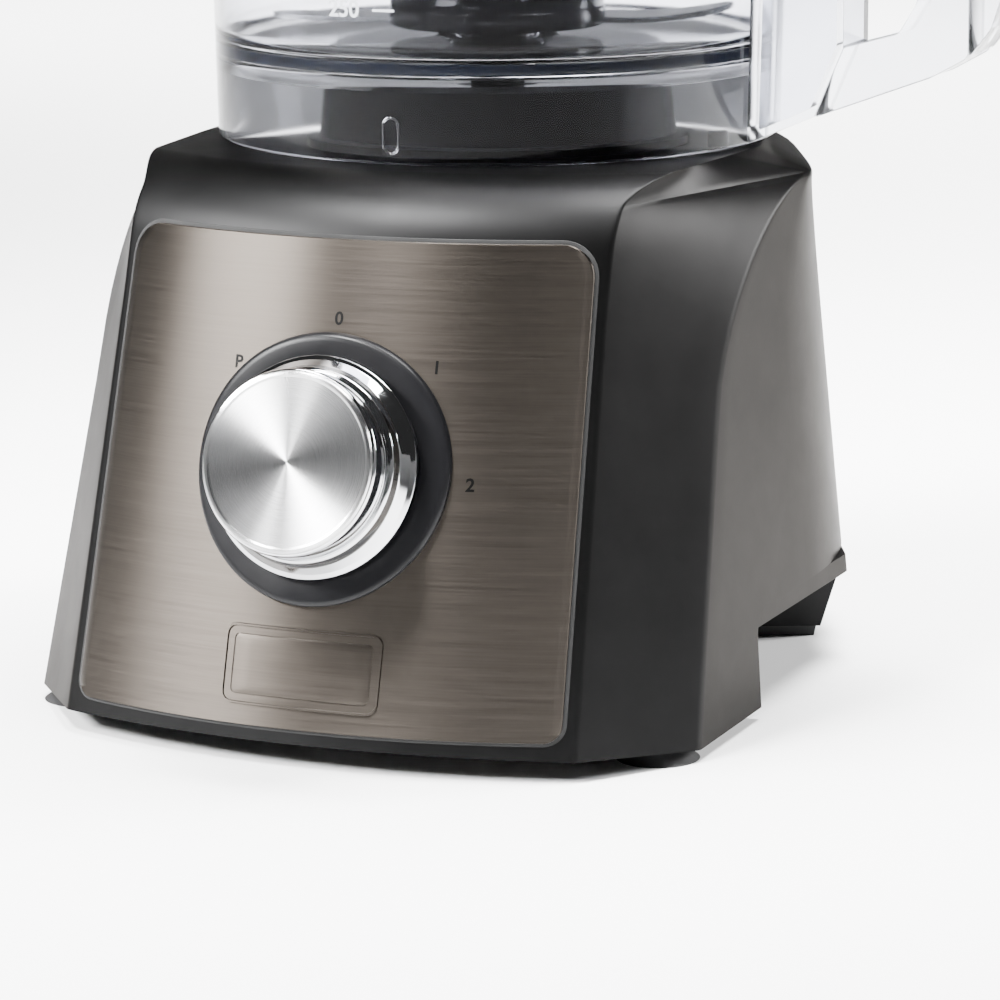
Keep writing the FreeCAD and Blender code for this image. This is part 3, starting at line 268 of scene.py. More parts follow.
SPUN = Finish("spun_aluminium", (0.80, 0.80, 0.81), 0.22, 1.0)
spun_place = SPUN.node("SeparateXYZ", {0: SPUN.node("TexCoord").outputs["Object"]})
spun_radius = SPUN.math("SQRT", SPUN.math("ADD", SPUN.math("POWER", spun_place.outputs[0], 2.0),
                                          SPUN.math("POWER", spun_place.outputs[1], 2.0)))
spun_rings = SPUN.node("TexNoise", {"W": SPUN.math("MULTIPLY", spun_radius, 9000.0), "Scale": 1.0,
                                    "Detail": 3.0}, noise_dimensions="1D").outputs["Fac"]
SPUN.wire("Base Color", SPUN.ramp(spun_rings, [(0.3, (0.70, 0.70, 0.71)), (0.7, (0.86, 0.86, 0.87))]))
SPUN.wire("Roughness", SPUN.ranged(spun_rings, 0.24, 0.30))
SPUN.bump(spun_rings, 0.00001, 0.5)
SPUN.set("Anisotropic", 0.97)
SPUN.set("Anisotropic Rotation", 0.25)
SPUN.wire("Tangent", SPUN.node("Tangent", direction_type="RADIAL", axis="Z").outputs[0])

# ---------------------------------------------------------------- mesh tools


SAME_PLACE = 0.0000005


def mesh_from(name, points, faces):
    """A mesh in metres from points in mm."""
    mesh = bpy.data.meshes.new(name)
    mesh.from_pydata([tuple(Vector(p) * MM) for p in points], [], faces)
    return mesh


def build(name, body, slot, finish, points, faces, replaced=(), turn=None, soft=28.0, bevel=0.0):
    """A piece from points in mm about the drive axis, riding on a body."""
    mesh = mesh_from(name, points, faces)
    work = bmesh.new()
    work.from_mesh(mesh)
    bmesh.ops.remove_doubles(work, verts=work.verts, dist=SAME_PLACE)
    bmesh.ops.dissolve_degenerate(work, edges=work.edges, dist=SAME_PLACE)
    if bevel > 0:
        sharp = [e for e in work.edges if len(e.link_faces) == 2 and
                 e.calc_face_angle(0.0) > math.radians(soft)]
        bmesh.ops.bevel(work, geom=sharp, offset=bevel * MM, segments=3, profile=0.5,
                        affect="EDGES", clamp_overlap=True)
    bmesh.ops.recalc_face_normals(work, faces=work.faces)
    work.to_mesh(mesh)
    work.free()
    mesh.shade_smooth()
    mesh.set_sharp_from_angle(angle=math.radians(soft))
    piece = bpy.data.objects.new(name, mesh)
    bpy.context.scene.collection.objects.link(piece)
    if turn is None:
        piece.location = AXIS
    else:
        piece.matrix_world = turn
    mesh.materials.append(finish.material)
    bpy.context.view_layer.update()
    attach(piece, body)
    if replaced:
        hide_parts(*replaced)
    return piece


def rounded(profile, steps=5):
    """Corners (a, b, radius) of a closed profile turned into a smooth list of (a, b)."""
    made = []
    count = len(profile)
    for index, corner in enumerate(profile):
        radius = corner[2] if len(corner) > 2 else 0.0
        here = Vector(corner[:2])
        if radius <= 0:
            made.append(here)
            continue
        before = Vector(profile[index - 1][:2]) - here
        after = Vector(profile[(index + 1) % count][:2]) - here
        half = before.angle(after) / 2
        reach = min(radius / math.tan(half), before.length * 0.49, after.length * 0.49)
        first, last = here + before.normalized() * reach, here + after.normalized() * reach
        for step in range(steps + 1):
            t = step / steps
            made.append(first * (1 - t) ** 2 + here * 2 * t * (1 - t) + last * t ** 2)
    return [(p.x, p.y) for p in made]


def lathe(profile, count=96):
    """A closed profile (radius, height) turned about the upright axis."""
    points = []
    for step in range(count):
        angle = 2 * math.pi * step / count
        points += [(r * math.cos(angle), r * math.sin(angle), z) for r, z in profile]
    return points, loop_faces(count, len(profile))


def prism(outline, low, high, axis="z"):
    """An outline pushed along an axis: (x, y) along z, or (x, z) along y."""
    size = len(outline)
    points = []
    for level in (low, high):
        for a, b in outline:
            points.append((a, b, level) if axis == "z" else (a, level, b))
    faces = [tuple(range(size)), tuple(range(2 * size - 1, size - 1, -1))]
    for index in range(size):
        after = (index + 1) % size
        faces.append((index, after, after + size, index + size))
    return points, faces


def loop_faces(count, size):
    """The faces of a closed section of size points, repeated count times round a loop."""
    faces = []
    for step in range(count):
        here, there = step * size, (step + 1) % count * size
        for side in range(size):
            after = (side + 1) % size
            faces.append((here + side, there + side, there + after, here + after))
    return faces


def grid_faces(rows, columns, closed=False):
    """The faces of a grid of points, closed into a tube where that is asked for."""
    faces = []
    for row in range(rows - 1):
        for column in range(columns if closed else columns - 1):
            after = (column + 1) % columns
            faces.append((row * columns + column, row * columns + after,
                          (row + 1) * columns + after, (row + 1) * columns + column))
    return faces


def sheet(upper, under, rows, columns):
    """A thin closed sheet between two grids of points."""
    front = grid_faces(rows, columns)
    total = len(upper)
    back = [tuple(index + total for index in reversed(face)) for face in front]
    border = list(range(columns)) + [row * columns + columns - 1 for row in range(1, rows)]
    border += [total - 1 - index for index in range(1, columns)]
    border += [row * columns for row in range(rows - 2, 0, -1)]
    sides = [(a, b, b + total, a + total) for a, b in zip(border, border[1:] + border[:1])]
    return upper + under, front + back + sides


def middle_of(shape):
    """The mean of an outline's points."""
    return Vector((sum(p[0] for p in shape) / len(shape), sum(p[1] for p in shape) / len(shape)))


def joined(*parts):
    """Several sets of points and faces as one."""
    points, faces = [], []
    for some_points, some_faces in parts:
        shift = len(points)
        points += list(some_points)
        faces += [tuple(index + shift for index in face) for face in some_faces]
    return points, faces


def solid_from(points, faces):
    """A loose object used only for cutting."""
    mesh = mesh_from("cutter", points, faces)
    work = bmesh.new()
    work.from_mesh(mesh)
    bmesh.ops.recalc_face_normals(work, faces=work.faces)
    work.to_mesh(mesh)
    work.free()
    made = bpy.data.objects.new("cutter", mesh)
    bpy.context.scene.collection.objects.link(made)
    made.location = AXIS
    return made


def cut(piece, cutters, soft):
    """Takes the cutters away from a piece, and then deletes them."""
    for index, cutter in enumerate(cutters):
        change = piece.modifiers.new("cut%d" % index, "BOOLEAN")
        change.operation = "DIFFERENCE"
        change.solver = "EXACT"
        change.object = cutter
    bpy.context.view_layer.update()
    seen = bpy.context.evaluated_depsgraph_get()
    result = bpy.data.meshes.new_from_object(piece.evaluated_get(seen))
    piece.modifiers.clear()
    old = piece.data
    piece.data = result
    bpy.data.meshes.remove(old)
    for cutter in cutters:
        bpy.data.objects.remove(cutter)
    result.shade_smooth()
    result.set_sharp_from_angle(angle=math.radians(soft))


# ---------------------------------------------------------------- motor housing


def cone_radius(height):
    """The radius of the shield's cone, with the bend into the deck at its top."""
    corner = CONE_BASE - DECK * math.tan(SLOPE)
    tangent = CONE_BEND * math.tan((math.pi / 2 - SLOPE) / 2)
    if height <= DECK - tangent * math.cos(SLOPE):
        return CONE_BASE - height * math.tan(SLOPE)
    rise = min(height - (DECK - CONE_BEND), CONE_BEND)
    return corner - tangent + math.sqrt(CONE_BEND ** 2 - rise ** 2)


def ramped(value):
    """The part of value above zero, with a soft start."""
    if value <= -SOFT_SHOULDER:
        return 0.0
    if value >= SOFT_SHOULDER:
        return value
    return (value + SOFT_SHOULDER) ** 2 / (4 * SOFT_SHOULDER)


def right_corners(height):
    """The right side's corners at one height, from the shield's edge to the rear."""
    across = EDGE_HALF - EDGE_TAPER * min(height, EDGE_STRAIGHT) / EDGE_STRAIGHT
    if height > FLARE_START:
        across += FLARE * ((height - FLARE_START) / FLARE_RUN) ** 2
    edge = (across, CONE_Y - math.sqrt(cone_radius(height) ** 2 - across ** 2))
    over = ramped(height - SHOULDER)
    low = min(height, SHOULDER)
    part = max(0.0, (low - CREASE_STRAIGHT) / (SHOULDER - CREASE_STRAIGHT))
    out = CREASE_OUT * part ** 2 - CREASE_DRAFT[0] * min(low, CREASE_STRAIGHT)
    back = CREASE_DRAFT[1] * low + CREASE_SWEEP * (1 - math.sqrt(1 - part ** 2))
    crease = (CREASE[0] + out - OVER_CREASE[0] * over, CREASE[1] + back - OVER_CREASE[1] * over)
    waist = (WAIST[0] - WAIST_DRAFT[0] * low - OVER_WAIST[0] * over,
             WAIST[1] - WAIST_DRAFT[1] * low - OVER_WAIST[1] * over)
    run = REAR_RUN + REAR_RUN_DRAFT * low - OVER_RUN * over
    corner = (waist[0] - run * math.tan(REAR_TURN), waist[1] + run)
    return [edge, crease, waist, corner]


def rear_y(height):
    """The rear's middle at one height."""
    return REAR_Y - REAR_DRAFT * height - OVER_REAR * ramped(height - SHOULDER)


def spread(start, end, count):
    """Points on the straight line between start and end, both left out."""
    return [(start[0] + (end[0] - start[0]) * i / count, start[1] + (end[1] - start[1]) * i / count)
            for i in range(1, count)]


def eased(before, corner, after, reach, steps):
    """A soft corner that starts and ends reach away from the sharp one."""
    here = Vector(corner)
    to_before, to_after = Vector(before) - here, Vector(after) - here
    first = here + to_before.normalized() * min(reach, to_before.length * 0.45)
    last = here + to_after.normalized() * min(reach, to_after.length * 0.45)
    return [tuple(first * (1 - t) ** 2 + here * 2 * t * (1 - t) + last * t ** 2)
            for t in (step / steps for step in range(steps + 1))]


def outline(height):
    """Half the outline of the housing at one height, from the nose to the middle of the rear."""
    edge, crease, waist, corner = right_corners(height)
    radius = cone_radius(height)
    half = math.asin(edge[0] / radius)
    steps = 30
    turns = [half * step / steps for step in range(steps)]
    arc = [(radius * math.sin(turn), CONE_Y - radius * math.cos(turn)) for turn in turns]
    rear = rear_y(height)
    sagitta = rear - corner[1]
    rear_radius = (corner[0] ** 2 + sagitta ** 2) / (2 * sagitta)
    swing = math.asin(corner[0] / rear_radius)
    steps = 16
    turns = [swing * (1 - step / steps) for step in range(steps + 1)]
    centre = rear - rear_radius
    back = [(rear_radius * math.sin(turn), centre + rear_radius * math.cos(turn)) for turn in turns]
    at_edge = eased(arc[-1], edge, crease, SOFT_EDGE, 4)
    at_crease = eased(edge, crease, waist, SOFT_CREASE, 4)
    at_waist = eased(crease, waist, corner, SOFT_WAIST, 12)
    at_corner = eased(waist, corner, back[2], SOFT_CORNER, 8)
    points = arc + at_edge + spread(at_edge[-1], at_crease[0], 6) + at_crease
    points += spread(at_crease[-1], at_waist[0], 8) + at_waist
    points += spread(at_waist[-1], at_corner[0], 4) + at_corner + back[3:]
    return points


def housing_rows():
    """The heights of the housing's rings, closer together round the bend."""
    heights = [0.0, 10.0, 20.0, 30.0, 40.0, 52.0, 64.0, 76.0, 88.0, 98.0, 106.0, 113.0, 119.0, BEND_START]
    heights += [DECK - CONE_BEND + CONE_BEND * math.sin(math.radians(angle)) for angle in range(0, 88, 4)]
    heights += [SHOULDER + SOFT_SHOULDER * part for part in (-1, -0.5, 0, 0.5, 1)]
    heights += [152.4, DECK]
    made = []
    for height in sorted(heights):
        if height > BEND_START and height - made[-1] < 0.15:
            continue
        made.append(height)
    return made


def housing_form(inset=0.0):
    """The housing's outer form, or the form of its hollow, moved in by its wall."""
    points = []
    heights = housing_rows()
    for height in heights:
        half = outline(height)
        ring = half + [(-x, y) for x, y in reversed(half[1:-1])]
        if inset:
            size = len(ring)
            moved = []
            for index, (x, y) in enumerate(ring):
                ahead, behind = Vector(ring[(index + 2) % size]), Vector(ring[index - 2])
                way = (ahead - behind).normalized()
                moved.append((x - way.y * inset, y + way.x * inset))
            ring = moved
        lowered = height - inset * max(0.0, height - ROOF_START) / (DECK - ROOF_START)
        points += [(x, y, lowered) for x, y in ring]
    columns = len(ring)
    faces = grid_faces(len(heights), columns, True)
    faces.append(tuple(range(columns - 1, -1, -1)))
    last = len(points) - columns
    faces.append(tuple(range(last, last + columns)))
    return points, faces


def across_x(shape):
    """A cutter with the outline (y, z), all the way across the housing."""
    points, faces = prism(shape, -CUT_HALF, CUT_HALF)
    return solid_from([(z, x, y) for x, y, z in points], faces)


def cut_under_rear():
    """What is cut away under the raised rear."""
    shape = [(NOTCH_Y, CUT_UNDER), (CUT_BACK, CUT_UNDER), (CUT_BACK, REAR_UNDER),
             (NOTCH_Y, REAR_UNDER, NOTCH_ROUND)]
    return across_x(rounded(shape, 10))


def cut_under_front():
    """What is cut away under the whole housing, with the lift at its nose."""
    rise = FRONT_UNDER + (LIFT_START - CUT_FRONT) * FRONT_LIFT
    return across_x([(LIFT_START, FRONT_UNDER), (CUT_FRONT, rise), (CUT_FRONT, CUT_UNDER),
                     (CUT_BACK, CUT_UNDER), (CUT_BACK, FRONT_UNDER)])


def make_housing():
    points, faces = housing_form()
    shell = build("housing_shell", "base", "housing", HOUSING, points, faces, ["main_housing"], soft=24.0)
    hollow = solid_from(*housing_form(WALL))
    reach = 30
    bore, bore_faces = lathe([(0.01, -reach), (INLET_RAD, -reach), (INLET_RAD, reach), (0.01, reach)], 32)
    inlet = solid_from([(x, INLET_Y + z, INLET_HIGH - y) for x, y, z in bore], bore_faces)
    cut(shell, [cut_under_front(), cut_under_rear(), hollow, inlet], 24.0)


def on_cone(across, height, stand_off):
    """A point on the shield's face at a place across it and a height, held off by stand_off."""
    radius = CONE_BASE - height * math.tan(SLOPE) + stand_off / math.cos(SLOPE)
    return (across, CONE_Y - math.sqrt(radius ** 2 - across ** 2), height)


def on_panel(u, v, stand_off):
    """A point on the panel: u to the right and v up the slope from the knob's axis."""
    return on_cone(u, KNOB_HIGH + v * math.cos(SLOPE), stand_off)


def panel_sheet(grow, near, far, edge):
    """A rounded trapezium wrapped on the shield, with softened edges."""
    low, high = PANEL_LOW - grow, PANEL_HIGH + grow
    levels = []
    for index in range(9):
        angle = math.radians(90 * index / 8)
        levels.append(low + (PANEL_ROUND_LOW + grow) * (1 - math.cos(angle)))
        levels.append(high - (PANEL_ROUND_HIGH + grow) * (1 - math.cos(angle)))
    start, stop = low + PANEL_ROUND_LOW + grow, high - PANEL_ROUND_HIGH - grow
    levels += [start + (stop - start) * i / 24 for i in range(1, 24)]
    levels += [low + edge, high - edge]
    levels = sorted(set(round(level, 4) for level in levels))

    def half_width(level):
        part = (level - PANEL_LOW) / (PANEL_HIGH - PANEL_LOW)
        half = PANEL_HALF_LOW + (PANEL_HALF_HIGH - PANEL_HALF_LOW) * part + grow
        for limit, radius, side in ((low, PANEL_ROUND_LOW + grow, 1), (high, PANEL_ROUND_HIGH + grow, -1)):
            inside = (level - limit) * side
            if inside < radius:
                half -= radius - math.sqrt(max(0.0, radius ** 2 - (radius - inside) ** 2))
        return half

    outer, inner = [], []
    columns = 61
    for level in levels:
        half = half_width(level)
        rim = level in (levels[0], levels[-1])
        for column in range(columns):
            if column in (0, 1):
                across = -half + edge * column
            elif column in (columns - 2, columns - 1):
                across = half - edge * (columns - 1 - column)
            else:
                across = (half - edge) * (2 * (column - 1) / (columns - 3) - 1)
            at_rim = rim or column in (0, columns - 1)
            outer.append(on_cone(across, level, far - (edge if at_rim else 0.0)))
            inner.append(on_cone(across, level, near))
    return sheet(outer, inner, len(levels), columns)


def divided(shape, step):
    """An outline with its sides divided evenly."""
    dense = []
    for (a, b), (c, d) in zip(shape, shape[1:] + shape[:1]):
        count = max(1, int(math.hypot(c - a, d - b) / step))
        dense += [(a + (c - a) * i / count, b + (d - b) * i / count) for i in range(count)]
    return dense


def ring_relief(shape, width, low, high):
    """A raised band along a closed outline on the panel."""
    centre = middle_of(shape)
    size = len(shape)
    points = []
    for index in range(size):
        here = Vector(shape[index])
        way = (Vector(shape[(index + 1) % size]) - Vector(shape[index - 1])).normalized()
        normal = Vector((way.y, -way.x))
        if (here - centre).dot(normal) < 0:
            normal = -normal
        for offset, height in ((0.5, low), (0.3, high), (-0.3, high), (-0.5, low)):
            spot = here + normal * width * offset
            points.append(on_panel(spot.x, spot.y, height))
    return points, loop_faces(size, 4)


def plaque(shape, low, high):
    """A raised plate with soft edges, wrapped on the panel."""
    centre = middle_of(shape)
    rings = []
    for shrink, height in ((0.0, low), (0.0, high - 0.25), (0.24, high - 0.06), (0.6, high)):
        ring = []
        for spot in shape:
            way = Vector(spot) - centre
            place = centre + way * (1 - shrink / way.length)
            ring.append((place.x, place.y, height))
        rings.append(ring)
    for scale in (0.75, 0.5, 0.25):
        last = rings[3]
        rings.append([(centre.x + (u - centre.x) * scale, centre.y + (v - centre.y) * scale, h)
                      for u, v, h in last])
    points = [on_panel(*spot) for ring in rings for spot in ring]
    size = len(shape)
    faces = grid_faces(len(rings), size, True)
    faces.append(tuple(range(size)))
    faces.append(tuple(range((len(rings) - 1) * size, len(rings) * size)))
    return points, faces


def rounded_box(u0, v0, u1, v1, radius):
    """A rounded rectangle with evenly divided sides."""
    corners = rounded([(u0, v0, radius), (u1, v0, radius), (u1, v1, radius), (u0, v1, radius)], 6)
    return divided(corners, 2.5)


LETTER_LOW = FACE + 0.03


def lettering(text, u, v, size, name):
    """A numeral as thin flat points and faces, centred on u and v."""
    curve = bpy.data.curves.new(name, "FONT")
    curve.body = text
    curve.size = size
    curve.align_x = "CENTER"
    curve.align_y = "CENTER"
    curve.offset = 0.022 * size
    curve.extrude = 0.02
    holder = bpy.data.objects.new(name, curve)
    bpy.context.scene.collection.objects.link(holder)
    bpy.context.view_layer.update()
    mesh = bpy.data.meshes.new_from_object(holder.evaluated_get(bpy.context.evaluated_depsgraph_get()))
    points = [(u + p.co.x, v + p.co.y, LETTER_LOW + max(0.0, p.co.z)) for p in mesh.vertices]
    faces = [tuple(face.vertices) for face in mesh.polygons]
    bpy.data.objects.remove(holder)
    bpy.data.meshes.remove(mesh)
    return points, faces


def make_panel():
    points, faces = panel_sheet(0.0, PANEL_STAND, FACE, 0.22)
    build("front_plate", "base", "panel", PANEL, points, faces, ["front_panel"], soft=40.0)
    # a near-black sheet 1 mm wider than the panel and just proud of the housing, painted shade for the gap
    # round it
    points, faces = panel_sheet(1.0, -0.3, 0.12, 0.08)
    build("panel_gap", "base", "dark_trim", GAP_SHADE, points, faces, soft=40.0)
    points, faces = joined(ring_relief(rounded_box(*BADGE_BAND), 0.7, FACE - 0.02, FACE + 0.4),
                           plaque(rounded_box(*BADGE_PLATE), FACE - 0.02, FACE + 0.3))
    build("blank_badge", "base", "panel", PANEL, points, faces, soft=35.0)
    parts = []
    for text, u, v in LEGENDS:
        flat, flat_faces = lettering(text, u, v, LEGEND_SIZE, "legend")
        parts.append(([on_panel(*p) for p in flat], flat_faces))
    points, faces = joined(*parts)
    build("dial_legends", "base", "panel", INK, points, faces, soft=60.0)


def make_bezel():
    count = 120
    points = []
    for radius, height in BEZEL:
        for step in range(count):
            angle = 2 * math.pi * step / count
            points.append(on_panel(radius * math.cos(angle), radius * math.sin(angle), FACE + 0.02 + height))
    faces = grid_faces(len(BEZEL), count, True)
    last = (len(BEZEL) - 1) * count
    faces += [(last + i, last + (i + 1) % count, (i + 1) % count, i) for i in range(count)]
    build("bezel_ring", "base", "dark_trim", TRIM, points, faces, ["knob_bezel"], soft=30.0)


def knob_frame():
    """The knob's own frame: its z axis points out of the panel."""
    place = AXIS + Vector((0, KNOB_Y, KNOB_HIGH)) * MM
    return Matrix.Translation(place) @ Matrix.Rotation(math.pi / 2 - SLOPE, 4, "X")


def make_knob():
    turn = knob_frame()
    points, faces = lathe(rounded(KNOB_BODY), 144)
    build("knob_chrome", "knob", "polished_chrome", CHROME, points, faces, ["knob_body"], turn, 26.0)
    points, faces = lathe(rounded(KNOB_CAP, 3), 144)
    build("knob_face", "knob", "spun_aluminium", SPUN, points, faces, ["knob_cap"], turn, 26.0)


# ---------------------------------------------------------------- bowl, handle, blades


def bowl_radius(height):
    """The bowl's outer radius at one height."""
    return BOWL_LOW + (BOWL_HIGH - BOWL_LOW) * (height - BOWL_FOOT) / (BOWL_RIM - BOWL_FOOT)


def make_bowl():
    low, high = bowl_radius(BOWL_FOOT + 2), bowl_radius(BOWL_RIM)
    floor = bowl_radius(BOWL_FLOOR) - BOWL_WALL
    profile = [(low, BOWL_FOOT, 0.8), (bowl_radius(BOWL_RIM - 8), BOWL_RIM - 8, 2.0),
               (high + 0.9, BOWL_RIM - 5.5, 1.0), (high + 0.9, BOWL_RIM, 0.8),
               (high - BOWL_WALL, BOWL_RIM, 0.8), (floor, BOWL_FLOOR, 5.0), (18.0, BOWL_FLOOR, 2.0),
               (12.6, BOWL_FLOOR + 4.0, 2.0), (12.4, TUBE_TOP, 0.8), (TUBE_BORE, TUBE_TOP, 0.6),
               (TUBE_BORE, BOWL_FLOOR - 4.0, 1.0), (12.0, BOWL_CEILING, 0.8),
               (floor - 1.5, BOWL_CEILING, 2.0), (low - BOWL_WALL, BOWL_FLOOR - 8.0, 1.0),
               (low - BOWL_WALL, BOWL_FOOT, 0.8)]
    points, faces = lathe(rounded(profile, 6), 160)
    build("bowl_shell", "bowl", "clear_plastic", CLEAR, points, faces, ["bowl"], soft=35.0)


def wrapped(text, height, azimuth, size, name):
    """Numerals on the inside of the bowl's wall."""
    flat, faces = lettering(text, 0.0, 0.0, size, name)
    made = []
    for x, y, z in flat:
        radius = bowl_radius(height + y) + 0.06 + (z - LETTER_LOW)
        angle = azimuth + x / radius
        made.append((radius * math.sin(angle), -radius * math.cos(angle), height + y))
    return made, faces


def tick(height, length, thick):
    """A short level line on the bowl's wall, in front of the drive axis."""
    points = []
    count = 6
    for lift in (0.02, 0.12):
        for step in range(count + 1):
            for rise in (-thick / 2, thick / 2):
                radius = bowl_radius(height + rise) + lift
                angle = length * (step / count - 0.5) / radius
                points.append((radius * math.sin(angle), -radius * math.cos(angle), height + rise))
    size = 2 * (count + 1)
    faces = []
    for step in range(count):
        a = step * 2
        faces.append((a, a + 2, a + 3, a + 1))
        faces.append((a + size, a + 1 + size, a + 3 + size, a + 2 + size))
        faces.append((a, a + size, a + 2 + size, a + 2))
        faces.append((a + 1, a + 3, a + 3 + size, a + 1 + size))
    faces += [(0, 1, 1 + size, size), (size - 2, 2 * size - 2, 2 * size - 1, size - 1)]
    return points, faces


def make_marks():
    parts = []
    for text, height in MARKS:
        parts.append(wrapped(text, height, MARK_TURN, MARK_SIZE, "mark"))
        parts.append(tick(height, 6.5, 0.7))
        if text != MARKS[-1][0]:
            parts.append(tick(height + HALF_MARK, 5.0, 0.5))
    points, faces = joined(*parts)
    build("bowl_marks", "bowl", "clear_plastic", PALE_INK, points, faces, soft=60.0)


def make_handle():
    points, faces = prism(rounded(CHANNEL, 3), -HANDLE_HALF, HANDLE_HALF, "y")
    piece = build("handle_side", "bowl", "clear_plastic", CLEAR_HANDLE, points, faces, ["handle_channel"],
                  soft=30.0)
    bottom, top, gap = 150, 300, 0.05
    inside = lathe([(0.01, bottom), (bowl_radius(bottom) + gap, bottom), (bowl_radius(top) + gap, top),
                    (0.01, top)], 160)
    half = HANDLE_HALF - HANDLE_WALL
    cut(piece, [solid_from(*inside), solid_from(*prism(rounded(CHANNEL_HOLLOW, 3), -half, half, "y"))], 30.0)
    solid = (("handle_grip", GRIP, "bowl_handle"), ("handle_back", GRIP_COVER, "handle_cover"))
    for name, profile, node in solid:
        points, faces = prism(rounded(profile, 6), -HANDLE_HALF, HANDLE_HALF, "y")
        build(name, "bowl", "clear_plastic", CLEAR_HANDLE, points, faces, [node], bevel=1.1, soft=30.0)


def make_floor_edge():
    """The thick edge of the bowl's floor as a near-black ring: painted shade for how the clear edge looks
    dark through the wall.
    """
    outer = bowl_radius(BOWL_FLOOR) - 0.35
    inner, low, high = outer - 1.9, BOWL_FLOOR - 3.1, BOWL_FLOOR + 0.1
    profile = rounded([(outer, low, 0.4), (outer, high, 0.4), (inner, high, 0.4), (inner, low, 0.4)], 3)
    points, faces = lathe(profile, 160)
    build("bowl_floor_edge", "bowl", "clear_plastic", EDGE_SHADE, points, faces, soft=35.0)


def make_skirt_mark():
    """The small raised oval on the bowl's foot."""
    middle, half_wide, half_tall, bead, turned = 164.0, 2.2, 5.0, 0.35, math.radians(1.0)
    count = 48
    points = []
    for step in range(count):
        angle = 2 * math.pi * step / count
        shift = half_tall - half_wide if math.sin(angle) >= 0 else half_wide - half_tall
        across = half_wide * math.cos(angle)
        rise = shift + half_wide * math.sin(angle)
        for grow, lift in ((-bead, 0.0), (0.0, 0.3), (bead, 0.0), (0.0, -0.3)):
            radius = bowl_radius(middle + rise) + lift
            away = 1 + grow / math.hypot(across, rise * half_wide / half_tall + 0.01)
            turn = turned + across * away / radius
            height = middle + rise * (1 + grow / half_tall)
            points.append((radius * math.sin(turn), -radius * math.cos(turn), height))
    faces = loop_faces(count, 4)
    build("bowl_skirt_mark", "bowl", "clear_plastic", CLEAR, points, faces, soft=60.0)


def make_hub():
    points, faces = lathe(rounded(HUB, 6), 128)
    build("hub_shell", "blades", "black_plastic", GLOSS, points, faces, ["blade_hub"], soft=35.0)
    count, sweep, low = 28, 100.0, 190.0
    for index, start in enumerate((215.0, 35.0)):
        points = []
        for step in range(count + 1):
            part = step / count
            angle = math.radians(start - sweep * part)
            top = 193.0 + 36.0 * min(1.0, part * 1.25) ** 1.15
            inner, outer = 26.5, 31.7 - 1.6 * part
            section = ((inner, low), (outer, low), (outer, top - 0.8), (outer - 0.8, top), (inner, top))
            points += [(r * math.cos(angle), r * math.sin(angle), height) for r, height in section]
        faces = grid_faces(count + 1, 5, True)
        faces += [tuple(range(4, -1, -1)), tuple(range(count * 5, count * 5 + 5))]
        build("hub_ramp_%d" % index, "blades", "black_plastic", GLOSS, points, faces, soft=35.0)


def blade_form(root, tip, low, chord, turn, lift):
    """One wing: flat steel, ground thin along its front edge."""
    count, across = 36, 12
    top, under = [], []
    for step in range(count + 1):
        part = step / count
        radius = root + (tip - root) * part
        shape = math.sqrt(max(0.0, 1 - max(0.0, (part - 0.8) / 0.2) ** 2))
        front = -chord * (1.0 - 0.35 * part) * (0.25 + 0.75 * shape) - 6.0 * math.sin(math.pi * part)
        back = chord * (0.55 - 0.25 * part) * (0.1 + 0.9 * shape)
        rise = low + lift * max(0.0, part - 0.35) ** 2 * 2.4
        for place in range(across + 1):
            side = place / across
            y = front + (back - front) * side
            thick = 1.4 * min(1.0, 0.12 + side * 4.5)
            angle = math.radians(turn)
            x_turned = radius * math.cos(angle) - y * math.sin(angle)
            y_turned = radius * math.sin(angle) + y * math.cos(angle)
            top.append((x_turned, y_turned, rise + thick))
            under.append((x_turned, y_turned, rise))
    return sheet(top, under, count + 1, across + 1)


def make_blades():
    points, faces = joined(blade_form(22.0, 69.5, 188.4, 14.0, 22.0, 3.0),
                           blade_form(22.0, 66.0, 188.4, 14.0, 202.0, 1.0))
    build("steel_blade_low", "blades", "blade_steel", STEEL, points, faces, ["lower_blade"], soft=25.0)
    points, faces = joined(blade_form(12.0, 70.0, 236.0, 10.0, 112.0, 6.0),
                           blade_form(12.0, 70.0, 236.0, 10.0, 292.0, -3.0))
    build("steel_blade_high", "blades", "blade_steel", STEEL, points, faces, ["upper_blade"], soft=25.0)


def window(grow, radius):
    """The chute's outline, grown or shrunk all round, with a corner radius."""
    half_x, half_y = CHUTE_WIDE / 2 + grow, CHUTE_DEEP / 2 + grow
    return rounded([(-half_x, CHUTE_Y - half_y, radius), (half_x, CHUTE_Y - half_y, radius),
                    (half_x, CHUTE_Y + half_y, radius), (-half_x, CHUTE_Y + half_y, radius)], 8)


def make_lid():
    rim, top, skirt = LID_RIM, LID_UNDER + LID_THICK, LID_UNDER - LID_SKIRT
    profile = [(0.03, LID_UNDER), (rim - 2.4, LID_UNDER, 1.0), (rim - 2.4, skirt, 0.8), (rim, skirt, 0.8),
               (rim, LID_UNDER + 1.4, 2.2), (rim - 4.0, LID_UNDER + 3.4, 2.0), (rim - 9.0, top, 1.5),
               (rim - 12.0, top), (0.03, top)]
    points, faces = lathe(rounded(profile), 160)
    lid = build("lid_shell", "lid", "clear_plastic", CLEAR, points, faces, ["lid"], soft=35.0)
    cut(lid, [solid_from(*prism(window(0.05, CHUTE_ROUND), LID_UNDER - 8, LID_UNDER + 8))], 35.0)
    points, faces = prism(window(0.0, CHUTE_ROUND), LID_UNDER - 4, CHUTE_TOP)
    chute = build("chute_shell", "lid", "clear_plastic", CLEAR, points, faces, ["feed_chute"], bevel=0.8,
                  soft=30.0)
    hole = window(-CHUTE_WALL, CHUTE_ROUND - CHUTE_WALL)
    cut(chute, [solid_from(*prism(hole, LID_UNDER - 20, CHUTE_TOP + 20))], 35.0)


